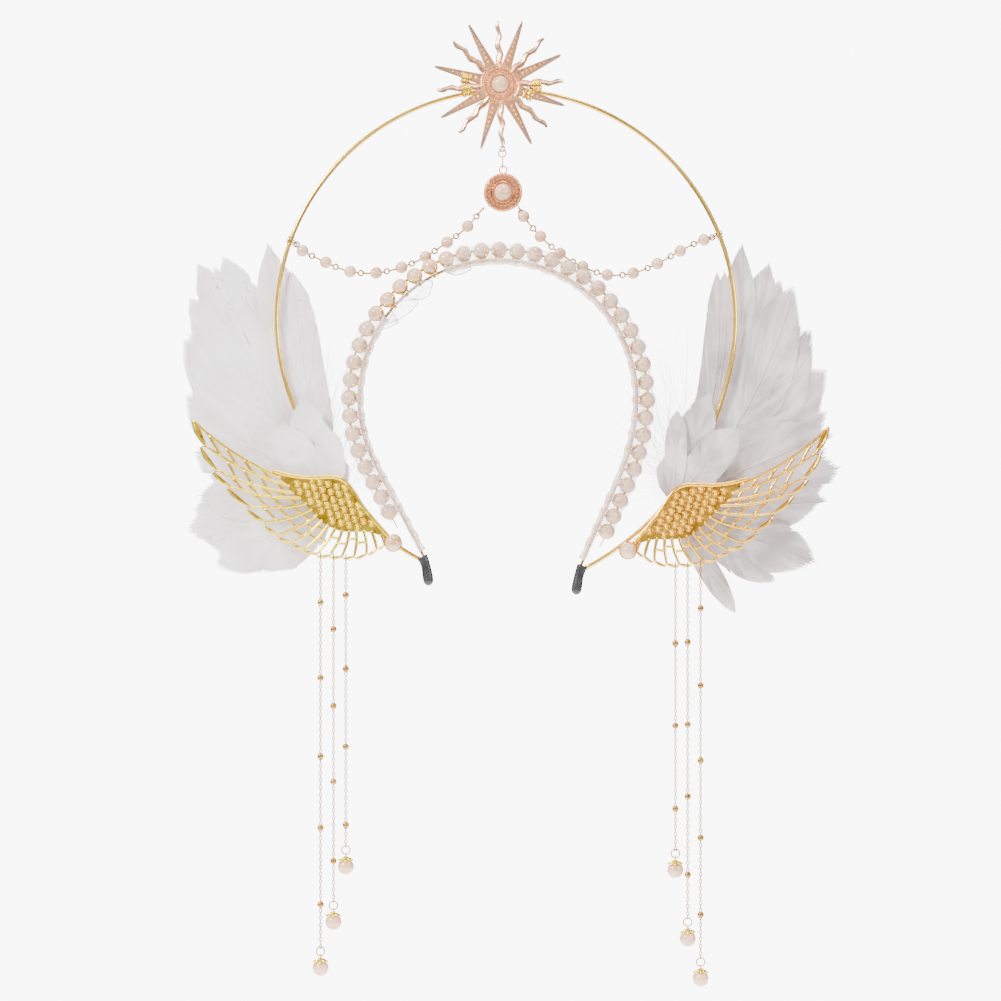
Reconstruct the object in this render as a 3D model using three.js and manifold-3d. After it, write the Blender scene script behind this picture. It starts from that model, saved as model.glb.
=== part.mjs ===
// A costume halo headband: a pearl-strung hair band with a wire halo, a sunburst, a pendant,
// pearl swags, two pierced gold wings, white feathers and six chain tassels.
// Millimetres. X runs to the right as seen from the front, Y to the back of the head, Z up.
// The origin is the point where the crown of the head meets the padded inside of the band.
import * as THREE from 'three';
import { mergeVertices } from 'three/addons/utils/BufferGeometryUtils.js';
import Module from 'manifold-3d';

const wasm = await Module();
wasm.setup();

// Driving sizes of the band.
const headRadius = 67;
const padThickness = 1.7;
const padWidth = 11.4;
const padSide = 1;
const padSideHeight = 3.6;
const stripThickness = 1.2;
const stripWidth = 5;
const pearlDiameter = 8;
const pearlPitch = 9;
const threadRadius = 0.5;

// The clearance between pieces that touch.
const gap = 0.3;

// The rubber tips.
const tipLength = 15.5;
const tipGrip = 5;
const tipThickness = 5;
const tipWidth = 6.6;
const tipSides = 8;

// The halo wire: its circle, how far it rises over the head seat, and how far it leans back.
const haloRadius = 115;
const haloRise = 88.5;
const haloShift = 4;
const haloWire = 2.2;
const haloLean = 2.4;
// Where the wire leaves its circle, below its middle, and its slope as it enters the tip.
const lowerWires = {
  left: { leaves: -24, slope: 28 },
  right: { leaves: -11, slope: 28 },
};
// How far the wire's bend eases at both of its ends, as a share of the bend's length.
const handleShare = 0.36;

// The sunburst, the pendant and their stones.
const sunRadius = 34;
const sunThickness = 1.6;
const sunShift = 1;
const sunLift = 2.5;
const hubRadius = 10;
const hubHeight = 1.4;
const sunStone = 8.5;
const medallionRadius = 9.75;
const medallionThickness = 2.4;
const medallionStone = 8.8;
const medallionShift = 2.5;
const bailRadius = 1.9;
const ringWire = 0.7;
const linkRadius = 1.24;
const medallionDrop = 54.3;
const lashingWire = 0.8;
// The bezels that hold a half pearl: their wall, the foot round it, and how far they rise.
const bezelWall = 0.6;
const bezelFoot = 0.4;
const bezelRise = 0.5;
// The medallion's dished face and the ring of small blocks in it.
const dishDepth = 0.6;
const medallionBlocks = 16;
const blockSize = 1.1;

// The swags of small pearls.
const swagPearl = 6;
const swagPitch = 13.1;
const swagLead = 5.6;
const pinRadius = 0.4;
const tieWire = 0.9;

// The gold wings, the cups that hold them and the pearls in the cups.
const wingSpan = 100;
const wingThickness = 1.2;
const ribWidth = 1;
const rimRadius = 0.8;
const stonePitch = 4.3;
const stoneRadius = 1.15;
const stoneHeight = 0.8;
const cupPearl = 8.2;
const cupWall = 0.7;
const postRadius = 1.5;
const cupFloor = 0.68;
const cupPlaces = {
  left: { x: -52.2, z: -139.2 },
  right: { x: 64.75, z: -143 },
};

// The feathers.
const plumeReach = 138;
const vaneThickness = 1.1;
const vaneStep = 0.7;
const quillPad = 9;

// The tassels.
const chainRadius = 0.55;
const hookRadius = 1.7;
const hookWire = 0.6;
const endRingRadius = 2.1;
const dropPearl = 8;
const capWall = 0.6;
const capLoop = 1.15;
// How far down its pearl a drop's cap reaches, in degrees from the top.
const capReach = 40;

// Facets round a bead, a link's wire and a plain round piece.
const beadSides = 10;
const wireSides = 5;
const roundSides = 20;
const haloSides = 6;
const chainSides = 6;
const findingSides = 10;

// Stations along a route: millimetres along the band, degrees round the halo, and counts.
const stripStep = 10;
const ribbonStep = 14;
const tipStep = 3;
const haloStep = 8;
const haloStations = 46;
const bendPoints = 10;
const curveDivisions = 1200;

// Finishes.
const gold = { color: 0xe8bc4a, metalness: 1, roughness: 0.25 };
const roseGold = { color: 0xe6ab8c, metalness: 1, roughness: 0.38 };
const brass = { color: 0xd6b04e, metalness: 1, roughness: 0.3 };
const pearl = { color: 0xf3ebe6, metalness: 0, roughness: 0.22 };
const organza = { color: 0xf7f3ee, metalness: 0, roughness: 0.6 };
const feather = { color: 0xf4f2f5, metalness: 0, roughness: 0.85 };
const rubber = { color: 0x141414, metalness: 0, roughness: 0.55 };

// Widths across the band, measured outwards from the inside of the pad.
const stripLine = headRadius + padThickness + gap + stripThickness / 2;
const pearlOffset = stripThickness / 2 + gap + pearlDiameter / 2;

// Each half of the band from the crown down: the round of the head, an easing bend and a leg.
// Turns are in degrees; radius and length are shares of the band's own radius.
const bandHalves = {
  left: [
    { turn: 114, radius: 1 },
    { turn: 4, radius: 1.6 },
    { turn: 0, length: 0.7 },
  ],
  right: [
    { turn: 95.5, radius: 1 },
    { turn: 18.5, radius: 1.58 },
    { turn: 0, length: 0.66 },
  ],
};
const tipBends = { left: -19, right: -14 };
// How far up each leg the pearls stop, and where the ribbon leaves the band bare.
const pearlStops = { left: 19, right: 12 };
const bareFrom = 22;
const bareTo = 54;

const sides = { left: -1, right: 1 };
const group = new THREE.Group();

// Small helpers.

/** Radians of an angle in degrees. */
function rad(degrees) {
  return THREE.MathUtils.degToRad(degrees);
}

/** The geometry as one closed skin: shared corners merged, empty faces gone, faces outwards. */
function closed(geometry) {
  const bare = geometry.clone();
  bare.deleteAttribute('normal');
  bare.deleteAttribute('uv');
  const merged = mergeVertices(bare, 1e-4);
  const old = merged.index.array;
  const kept = [];
  for (let i = 0; i < old.length; i += 3) {
    const [a, b, c] = [old[i], old[i + 1], old[i + 2]];
    if (a !== b && b !== c && c !== a) kept.push(a, b, c);
  }
  merged.setIndex(kept);
  if (signedVolume(merged) < 0) {
    for (let i = 0; i < kept.length; i += 3) [kept[i], kept[i + 1]] = [kept[i + 1], kept[i]];
    merged.setIndex(kept);
  }
  return merged;
}

/** Six times the volume inside a closed skin, negative when its faces point in. */
function signedVolume(geometry) {
  const place = geometry.attributes.position;
  const index = geometry.index.array;
  const [a, b, c] = [new THREE.Vector3(), new THREE.Vector3(), new THREE.Vector3()];
  let volume = 0;
  for (let i = 0; i < index.length; i += 3) {
    a.fromBufferAttribute(place, index[i]);
    b.fromBufferAttribute(place, index[i + 1]);
    c.fromBufferAttribute(place, index[i + 2]);
    volume += a.dot(b.clone().cross(c));
  }
  return volume;
}

/** A solid that can be joined and cut. */
function solid(geometry) {
  const skin = closed(geometry);
  const vertProperties = new Float32Array(skin.attributes.position.array);
  const triVerts = new Uint32Array(skin.index.array);
  return new wasm.Manifold(new wasm.Mesh({ numProp: 3, vertProperties, triVerts }));
}

/** The skin of a joined or cut solid. */
function skinOf(manifold) {
  const mesh = manifold.getMesh();
  const geometry = new THREE.BufferGeometry();
  geometry.setAttribute('position', new THREE.BufferAttribute(mesh.vertProperties, 3));
  geometry.setIndex([...mesh.triVerts]);
  return geometry;
}

/** Several geometries joined into one body. */
function fuse(geometries) {
  const [first, ...rest] = geometries.map(solid);
  return skinOf(rest.reduce((whole, next) => whole.add(next), first));
}

/** Adds a named piece of the given finish to a group. */
function piece(name, geometry, finish, parent = group) {
  const mesh = new THREE.Mesh(closed(geometry), new THREE.MeshStandardMaterial(finish));
  mesh.name = name;
  parent.add(mesh);
  return mesh;
}

/** A regular outline with the given number of sides. */
function ring(radius, count) {
  const points = [];
  for (let i = 0; i < count; i += 1) {
    const angle = (2 * Math.PI * i) / count;
    points.push(new THREE.Vector2(radius * Math.cos(angle), radius * Math.sin(angle)));
  }
  return new THREE.Shape(points);
}

/** A round rod that follows a curve. */
function rod(curve, radius, count, steps) {
  return new THREE.ExtrudeGeometry(ring(radius, count), { extrudePath: curve, steps });
}

/** A closed wire ring round the Z axis, drawn out by `stretch` along Y. */
function link(radius, wire, stretch = 0, segments = 12) {
  const geometry = new THREE.TorusGeometry(radius, wire / 2, wireSides, segments);
  const place = geometry.attributes.position;
  for (let i = 0; i < place.count; i += 1) {
    const y = place.getY(i);
    if (Math.abs(y) > wire / 10) place.setY(i, y + (Math.sign(y) * stretch) / 2);
  }
  return geometry;
}

/** A shape that stands in the XZ plane, from depth `front` back to depth `back`. */
function plate(shape, front, back) {
  const geometry = new THREE.ExtrudeGeometry(shape, { depth: back - front, bevelEnabled: false });
  geometry.rotateX(Math.PI / 2);
  geometry.translate(0, back, 0);
  return geometry;
}

/** A turned piece whose axis runs from front to back; rows give depth and radius. */
function turned(rows, count = roundSides) {
  const profile = rows.map(({ depth, radius }) => new THREE.Vector2(radius, depth));
  return new THREE.LatheGeometry(profile, count);
}

/** Half a pearl with its flat back at depth zero and its dome towards the front. */
function dome(diameter) {
  const radius = diameter / 2;
  const rows = [{ depth: 0, radius: 0 }];
  for (const angle of [0, 25, 50, 72]) {
    rows.push({ depth: -radius * Math.sin(rad(angle)), radius: radius * Math.cos(rad(angle)) });
  }
  rows.push({ depth: -radius, radius: 0 });
  return turned(rows, beadSides + 2);
}

/** Bends straight stock that runs along Z: X goes across the route and Y into its depth. */
function bend(geometry, frameAt) {
  const place = geometry.attributes.position;
  for (let i = 0; i < place.count; i += 1) {
    const { point, across, depth } = frameAt(place.getZ(i));
    const moved = point.clone();
    moved.addScaledVector(across, place.getX(i));
    moved.addScaledVector(depth, place.getY(i));
    place.setXYZ(i, moved.x, moved.y, moved.z);
  }
  return geometry;
}

/** A straight string of beads along Z, on a thread that shows between them. */
function beadString(length, centres, diameter, thread, spaced) {
  const radius = diameter / 2;
  const shoulder = radius * Math.SQRT1_2;
  const profile = [new THREE.Vector2(0, 0), new THREE.Vector2(thread, 0)];
  centres.forEach((centre, i) => {
    if (spaced || i === 0) profile.push(new THREE.Vector2(thread, centre - radius));
    profile.push(new THREE.Vector2(shoulder, centre - shoulder));
    profile.push(new THREE.Vector2(radius, centre));
    profile.push(new THREE.Vector2(shoulder, centre + shoulder));
    const apart = spaced || i === centres.length - 1;
    const end = apart ? centre + radius : (centre + centres[i + 1]) / 2;
    profile.push(new THREE.Vector2(thread, end));
  });
  profile.push(new THREE.Vector2(thread, length), new THREE.Vector2(0, length));
  return new THREE.LatheGeometry(profile, beadSides).rotateX(Math.PI / 2);
}

/** Evenly spaced places that fill a length, the same room left at both ends. */
function spread(length, pitch) {
  const count = Math.max(2, Math.floor(length / pitch));
  const first = (length - (count - 1) * pitch) / 2;
  return Array.from({ length: count }, (_, i) => first + i * pitch);
}

// The band's route.

/** Where a half of the band is at a distance from the crown, drawn for the right side. */
function alongHalf(side, distance) {
  const tip = { turn: tipBends[side], length: tipLength / 2 / stripLine };
  const rows = [...bandHalves[side], tip, { turn: 0, length: 1 }];
  let [x, z, heading, left] = [0, 0, 0, distance];
  for (const row of rows) {
    const angle = -rad(row.turn);
    const length = stripLine * (row.length ?? row.radius * Math.abs(angle));
    const used = Math.min(left, length);
    const turn = (angle * used) / length;
    const chord = turn === 0 ? used : (used * Math.sin(turn / 2)) / (turn / 2);
    x += chord * Math.cos(heading + turn / 2);
    z += chord * Math.sin(heading + turn / 2);
    heading += turn;
    left -= used;
    if (left <= 0) break;
  }
  return { x, z: z + stripLine - headRadius, heading };
}

/** The length of a half of the band, from the crown to the mouth of its rubber tip. */
function halfLength(side) {
  const shares = bandHalves[side].map((row) => row.length ?? row.radius * rad(row.turn));
  return stripLine * shares.reduce((sum, share) => sum + share, 0);
}

const reach = { left: halfLength('left'), right: halfLength('right') };

/** The frame of the band at a distance from the crown, to the left when it is negative. */
function bandFrame(distance) {
  const side = distance < 0 ? 'left' : 'right';
  const { x, z, heading } = alongHalf(side, Math.abs(distance));
  const point = new THREE.Vector3(sides[side] * x, 0, z);
  const across = new THREE.Vector3(-sides[side] * Math.sin(heading), 0, Math.cos(heading));
  return { point, across, depth: new THREE.Vector3(0, 1, 0) };
}

/** A section of the band, bent from one distance to another, both from the crown. */
function bandStock(shape, from, to, step) {
  const steps = Math.ceil((to - from) / step);
  const stock = new THREE.ExtrudeGeometry(shape, { depth: to - from, steps, bevelEnabled: false });
  stock.translate(0, 0, from);
  return bend(stock, bandFrame);
}

/** A rectangle across the band: from one offset to another, and as wide as given. */
function crossSection(inner, outer, width) {
  const shape = new THREE.Shape();
  shape.moveTo(inner, -width / 2);
  shape.lineTo(outer, -width / 2);
  shape.lineTo(outer, width / 2);
  shape.lineTo(inner, width / 2);
  return shape;
}

// The halo's own plane, which leans back from the rubber tips.
const tipMouth = { left: bandFrame(-reach.left), right: bandFrame(reach.right) };
const leanFrom = (tipMouth.left.point.z + tipMouth.right.point.z) / 2;
const leaning = new THREE.Group();
const upright = new THREE.Group();
leaning.position.z = leanFrom;
leaning.rotation.x = -rad(haloLean);
upright.position.z = -leanFrom;
leaning.add(upright);
group.add(leaning);
const haloCentre = haloRise - haloRadius;

/** The place of a point that is given in the halo's leaning plane. */
function onHalo(x, depth, z) {
  const point = new THREE.Vector3(x, depth, z - leanFrom);
  point.applyAxisAngle(new THREE.Vector3(1, 0, 0), -rad(haloLean));
  point.z += leanFrom;
  return point;
}

/** A point on the halo's circle, at an angle up from its right. */
function haloPoint(angle) {
  const x = haloShift + haloRadius * Math.cos(rad(angle));
  const z = haloCentre + haloRadius * Math.sin(rad(angle));
  return { x, z };
}

// The band, its pearls and its ribbon.

function buildStrip() {
  const shape = crossSection(-stripThickness / 2, stripThickness / 2, stripWidth);
  const [from, to] = [-reach.left - tipGrip, reach.right + tipGrip];
  piece('headband_strip', bandStock(shape, from, to, stripStep), gold);
}

function buildPearls() {
  const from = -reach.left + pearlStops.left;
  const to = reach.right - pearlStops.right;
  const pitch = (pearlPitch * stripLine) / (stripLine + pearlOffset);
  const string = beadString(to - from, spread(to - from, pitch), pearlDiameter, threadRadius);
  string.translate(pearlOffset, 0, from);
  piece('pearl_row', bend(string, bandFrame), pearl);
}

/** The padded ribbon: a floor under the strip with two low sides beside the pearls. */
function ribbonSection() {
  const floor = -stripThickness / 2 - gap - padThickness;
  const bed = floor + padThickness;
  const top = floor + padSideHeight;
  const outer = padWidth / 2;
  const inner = outer - padSide;
  const corners = [
    [floor, -outer], [top, -outer], [top, -inner], [bed, -inner],
    [bed, inner], [top, inner], [top, outer], [floor, outer],
  ];
  return new THREE.Shape(corners.map(([x, y]) => new THREE.Vector2(x, y)));
}

function buildRibbons() {
  const clear = tipThickness / 2;
  const bare = { from: -rad(bareFrom) * stripLine, to: -rad(bareTo) * stripLine };
  const left = bandStock(ribbonSection(), -reach.left + clear, bare.to, ribbonStep);
  const right = bandStock(ribbonSection(), bare.from, reach.right - clear, ribbonStep);
  piece('ribbon_left', left, organza);
  piece('ribbon_right', right, organza);
}

// The halo wire and the rubber tips.

/** Where the wire ends inside a rubber tip, beside the strip. */
function wireEnd(side) {
  const { point, across } = bandFrame(sides[side] * (reach[side] + tipGrip / 3));
  return point.clone().addScaledVector(across, stripThickness / 2 + gap + haloWire / 2);
}

/** The wire's route from the rubber tip of one side up to its circle. */
function lowerWire(side) {
  const { leaves, slope } = lowerWires[side];
  const end = wireEnd(side);
  const start = haloPoint(sides[side] > 0 ? leaves : 180 - leaves);
  const circleEnd = new THREE.Vector3(start.x, 0, start.z);
  const handle = circleEnd.distanceTo(end) * handleShare;
  const low = new THREE.Vector3(sides[side] * Math.cos(rad(slope)), 0, Math.sin(rad(slope)));
  const high = new THREE.Vector3(sides[side] * Math.sin(rad(leaves)), 0, -Math.cos(rad(leaves)));
  return new THREE.CubicBezierCurve3(
    end,
    low.multiplyScalar(handle).add(end),
    high.multiplyScalar(handle).add(circleEnd),
    circleEnd,
  );
}

function haloCurve() {
  const points = lowerWire('left').getPoints(bendPoints);
  const first = 180 - lowerWires.left.leaves - haloStep;
  for (let angle = first; angle > lowerWires.right.leaves + haloStep / 2; angle -= haloStep) {
    const { x, z } = haloPoint(angle);
    points.push(new THREE.Vector3(x, 0, z));
  }
  points.push(...lowerWire('right').getPoints(bendPoints).reverse());
  const curve = new THREE.CatmullRomCurve3(points, false, 'centripetal');
  curve.arcLengthDivisions = curveDivisions;
  return curve;
}

function buildHalo() {
  piece('halo_wire', rod(haloCurve(), haloWire / 2, haloSides, haloStations), brass, upright);
}

/** A black rubber tip with sockets for the strip and the end of the wire. */
function buildTip(side) {
  const [mouth, nose] = [reach[side], reach[side] + tipLength];
  const inner = -stripThickness / 2 - (tipThickness - haloWire - stripThickness - gap) / 2;
  const body = new THREE.Shape();
  const points = ring(1, tipSides).getPoints();
  const middle = inner + tipThickness / 2;
  body.setFromPoints(points.map(({ x, y }) => new THREE.Vector2(
    middle + (x * tipThickness) / 2,
    (y * tipWidth) / 2,
  )));
  const halfSlot = stripThickness / 2 + gap;
  const slot = crossSection(-halfSlot, halfSlot, stripWidth + 2 * gap);
  const stock = (shape, near, far) => {
    const [from, to] = sides[side] > 0 ? [near, far] : [-far, -near];
    return bandStock(shape, from, to, tipStep);
  };
  // The wire's hole is straight, and reaches from the wire's end well out of the mouth.
  const end = wireEnd(side);
  const outside = lowerWire(side).getPoint(0.2);
  const beyond = end.clone().addScaledVector(outside.clone().sub(end).normalize(), -gap);
  const hole = rod(new THREE.LineCurve3(beyond, outside), haloWire / 2 + gap, tipSides, 1);
  const tip = solid(stock(body, mouth, nose))
    .subtract(solid(stock(slot, mouth - tipGrip, mouth + tipGrip + gap)))
    .subtract(solid(hole));
  piece(`rubber_tip_${side}`, skinOf(tip), rubber);
}

// The sunburst.

// One pair of rays, repeated round the hub: a straight ray and a wavy one.
const rayPairs = 8;
const straightRay = { at: 70, length: 1, base: 0.056 };
const wavyRay = { at: 92, length: 0.94, base: 0.054 };
// The waves of a wavy ray from hub to tip: shares of its length, of its width and of its swing.
const waves = [
  { along: 0.42, width: 0.75, swing: 0.5 },
  { along: 0.58, width: 0.62, swing: -0.7 },
  { along: 0.72, width: 0.5, swing: 0.8 },
  { along: 0.86, width: 0.32, swing: -0.7 },
];
const swingShare = 0.6;
const hubShare = 0.3;
// The raised dots of a straight ray: how far out, and their radius as a share of the ray's base.
const rayDots = [
  { along: 0.42, radius: 0.65 },
  { along: 0.56, radius: 0.55 },
  { along: 0.7, radius: 0.46 },
];
const dotHeight = 0.9;
const dotSides = 4;
// The hub's profile: its back edge, its shoulder, and how high the shoulder and its dish stand.
const hubProfile = { back: 0.9, shoulder: 0.93, shoulderRise: 0.6, dishRise: 0.4 };

/** A point of a ray: how far out from the sun's middle, and how far to its side. */
function rayPoint(angle, out, aside) {
  const [c, s] = [Math.cos(rad(angle)), Math.sin(rad(angle))];
  return new THREE.Vector2(out * c - aside * s, out * s + aside * c);
}

function raysShape() {
  const points = [];
  const turn = 360 / rayPairs;
  for (let i = 0; i < rayPairs; i += 1) {
    const straight = straightRay.at + turn * i;
    points.push(rayPoint(straight, sunRadius * hubShare, -sunRadius * straightRay.base));
    points.push(rayPoint(straight, sunRadius * straightRay.length, 0));
    points.push(rayPoint(straight, sunRadius * hubShare, sunRadius * straightRay.base));
    const wavy = wavyRay.at + turn * i;
    const half = sunRadius * wavyRay.base;
    const far = sunRadius * wavyRay.length;
    points.push(rayPoint(wavy, sunRadius * hubShare, -half));
    for (const { along, width, swing } of waves) {
      points.push(rayPoint(wavy, far * along, half * (swing * swingShare - width)));
    }
    points.push(rayPoint(wavy, far, 0));
    for (const { along, width, swing } of [...waves].reverse()) {
      points.push(rayPoint(wavy, far * along, half * (swing * swingShare + width)));
    }
    points.push(rayPoint(wavy, sunRadius * hubShare, half));
  }
  return new THREE.Shape(points);
}

const sunZ = haloRise + sunLift;
const medallionZ = sunZ - medallionDrop;
const sunBack = -haloWire / 2 - gap - lashingWire - gap;
const sunFront = sunBack - sunThickness;
const eyeRadius = 1.3;
const lowestTip = { x: -Math.cos(rad(wavyRay.at)), z: -Math.sin(rad(wavyRay.at)) };
const eyeX = sunShift + sunRadius * wavyRay.length * lowestTip.x;
const eyeZ = sunZ + sunRadius * wavyRay.length * lowestTip.z - eyeRadius + ringWire;

function buildSun() {
  const parts = [plate(raysShape(), sunFront, sunBack)];
  const seat = sunStone / 2;
  parts.push(turned([
    { depth: sunBack, radius: 0 },
    { depth: sunBack, radius: hubRadius * hubProfile.back },
    { depth: sunFront, radius: hubRadius },
    { depth: sunFront - hubHeight * hubProfile.shoulderRise, radius: hubRadius * hubProfile.shoulder },
    { depth: sunFront - hubHeight * hubProfile.dishRise, radius: seat + gap + bezelWall + bezelFoot },
    { depth: sunFront - hubHeight, radius: seat + gap + bezelWall },
    { depth: sunFront - hubHeight, radius: seat + gap },
    { depth: sunFront - gap, radius: seat + gap },
    { depth: sunFront - gap, radius: 0 },
  ]));
  for (let i = 0; i < rayPairs; i += 1) {
    for (const { along, radius } of rayDots) {
      const wide = sunRadius * straightRay.base * radius;
      const dot = new THREE.ConeGeometry(wide, dotHeight + gap, dotSides).rotateX(Math.PI);
      const { x, y } = rayPoint(straightRay.at + (360 / rayPairs) * i, sunRadius * along, 0);
      dot.translate(x, sunFront + (gap - dotHeight) / 2, y);
      parts.push(dot);
    }
  }
  const eye = link(eyeRadius, ringWire).rotateY(Math.PI / 2).rotateX(Math.PI / 2);
  eye.translate(eyeX - sunShift, (sunFront + sunBack) / 2, eyeZ - sunZ);
  parts.push(eye);
  const sun = fuse(parts);
  sun.translate(sunShift, 0, sunZ);
  piece('sunburst', sun, roseGold, upright);
  const stone = dome(sunStone).translate(sunShift, sunFront - 2 * gap, sunZ);
  piece('sunburst_pearl', stone, pearl, upright);
}

/** Wire wound round the halo, on which the sunburst rests. */
function buildLashing(side) {
  const turns = 2;
  const stepsPerTurn = 8;
  const radius = haloWire / 2 + gap + lashingWire / 2;
  const x = sunShift + (sides[side] * sunRadius) / 2;
  const angle = Math.acos((x - haloShift) / haloRadius);
  const z = haloCentre + haloRadius * Math.sin(angle);
  const points = [];
  for (let i = 0; i <= turns * stepsPerTurn; i += 1) {
    const turn = (2 * Math.PI * i) / stepsPerTurn;
    const along = (i / stepsPerTurn - turns / 2) * (lashingWire + gap);
    points.push(new THREE.Vector3(along, radius * Math.cos(turn), radius * Math.sin(turn)));
  }
  const route = new THREE.CatmullRomCurve3(points);
  const coil = rod(route, lashingWire / 2, wireSides, turns * stepsPerTurn);
  coil.rotateY(-(angle - Math.PI / 2));
  coil.translate(x, 0, z);
  piece(`sun_lashing_${side}`, coil, gold, upright);
}

// The pendant under the sunburst.

// The medallion's rim in shares of its radius: its two faces, its inner edge and its dish.
const rimShares = { face: 0.97, inner: 0.86, dish: 0.82 };
const hangAt = onHalo(eyeX, (sunFront + sunBack) / 2, eyeZ);
const pendantY = hangAt.y;

function buildPendant() {
  const wire = ringWire;
  const step = wire + gap;
  const ringZ = hangAt.z - eyeRadius + step - bailRadius;
  const jump = link(bailRadius, wire).rotateX(Math.PI / 2);
  jump.translate(hangAt.x, pendantY, ringZ);
  piece('pendant_ring', jump, roseGold);

  const bailZ = medallionZ + medallionRadius + bailRadius - wire / 2;
  const linkTop = ringZ - bailRadius + step;
  const linkBottom = bailZ + bailRadius - step;
  const oval = link(linkRadius, wire, linkTop - linkBottom - 2 * linkRadius);
  oval.rotateX(Math.PI / 2).rotateZ(Math.PI / 2);
  const middle = (hangAt.x + medallionShift) / 2;
  oval.translate(middle, pendantY, (linkTop + linkBottom) / 2);
  piece('pendant_link', oval, roseGold);

  const seat = medallionStone / 2;
  const half = medallionThickness / 2;
  const dish = -half + dishDepth;
  const foot = seat + gap + bezelWall + bezelFoot;
  const parts = [turned([
    { depth: half, radius: 0 },
    { depth: half, radius: medallionRadius * rimShares.face },
    { depth: 0, radius: medallionRadius },
    { depth: -half, radius: medallionRadius * rimShares.face },
    { depth: -half, radius: medallionRadius * rimShares.inner },
    { depth: dish, radius: medallionRadius * rimShares.dish },
    { depth: dish, radius: foot },
    { depth: -half - bezelRise, radius: seat + gap + bezelWall },
    { depth: -half - bezelRise, radius: seat + gap },
    { depth: dish, radius: seat + gap },
    { depth: dish, radius: 0 },
  ])];
  const bail = link(bailRadius, wire).rotateX(Math.PI / 2);
  bail.translate(0, 0, bailZ - medallionZ);
  parts.push(bail);
  const blockRing = (medallionRadius * rimShares.dish + foot) / 2;
  for (let i = 0; i < medallionBlocks; i += 1) {
    const block = new THREE.BoxGeometry(blockSize, blockSize, blockSize);
    block.translate(0, dish, blockRing);
    block.rotateY((2 * Math.PI * i) / medallionBlocks);
    parts.push(block);
  }
  const medal = fuse(parts).translate(medallionShift, pendantY, medallionZ);
  piece('medallion', medal, roseGold);
  const stone = dome(medallionStone).translate(medallionShift, pendantY + dish - gap, medallionZ);
  piece('medallion_pearl', stone, pearl);
}

// The swags. Each route is a list of chosen points between the halo and the medallion.
const swagTies = { left: 160, right: 21.5 };
const swagRoutes = {
  left: [
    [-99.5, 8.65], [-87, 2], [-75.5, -2.6], [-63.2, -3.8], [-50.5, -1.5],
    [-38.5, 3.3], [-26.8, 10.8], [-16.6, 18.4], [-8, 28],
  ],
  right: [
    [101.5, 12.4], [90.6, 7], [79, 0.6], [66.8, -4], [54.5, -4.6],
    [43, -0.8], [31.8, 5.6], [21.5, 14.4], [12.9, 24.6],
  ],
};
// Where each swag's last eye meets the medallion's edge.
const swagFront = { left: [-5.8, 30.3], right: [10.6, 29.2] };

function swagCurve(side) {
  const { x, z } = haloPoint(swagTies[side]);
  const start = onHalo(x, 0, z);
  const inwards = new THREE.Vector3(haloShift - x, 0, haloCentre - z).normalize();
  start.addScaledVector(inwards, haloWire / 2 + tieWire + 2 * gap);
  const [endX, endZ] = swagFront[side];
  const middle = new THREE.Vector3(medallionShift, 0, medallionZ);
  const away = new THREE.Vector3(endX, 0, endZ).sub(middle).normalize();
  const end = middle.addScaledVector(away, medallionRadius + gap + pinRadius);
  const across = Math.abs(end.x - start.x);
  const points = [start];
  for (const [px, pz] of swagRoutes[side]) {
    const share = Math.abs(px - start.x) / across;
    points.push(new THREE.Vector3(px, THREE.MathUtils.lerp(start.y, pendantY, share), pz));
  }
  points.push(new THREE.Vector3(end.x, pendantY, end.z));
  const curve = new THREE.CatmullRomCurve3(points, false, 'centripetal');
  curve.arcLengthDivisions = curveDivisions;
  return curve;
}

function buildSwag(side) {
  const curve = swagCurve(side);
  const length = curve.getLength();
  const count = Math.floor((length - swagLead) / swagPitch) + 1;
  const centres = Array.from({ length: count }, (_, i) => swagLead + i * swagPitch);
  const string = beadString(length, centres, swagPearl, pinRadius, true);
  const frameAt = (distance) => {
    const share = THREE.MathUtils.clamp(distance / length, 0, 1);
    const point = curve.getPointAt(share);
    const tangent = curve.getTangentAt(share);
    const across = new THREE.Vector3(0, 1, 0).cross(tangent).normalize();
    const depth = tangent.clone().cross(across).normalize();
    return { point, across, depth };
  };
  piece(`swag_${side}`, bend(string, frameAt), pearl);

  const { x, z } = haloPoint(swagTies[side]);
  const knot = link(haloWire / 2 + gap + tieWire / 2, tieWire);
  knot.rotateY(-rad(swagTies[side])).translate(x, 0, z);
  piece(`swag_tie_${side}`, knot, roseGold, upright);
}

// The gold wings. One wing is drawn for the right, with its stud at the origin.

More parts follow.
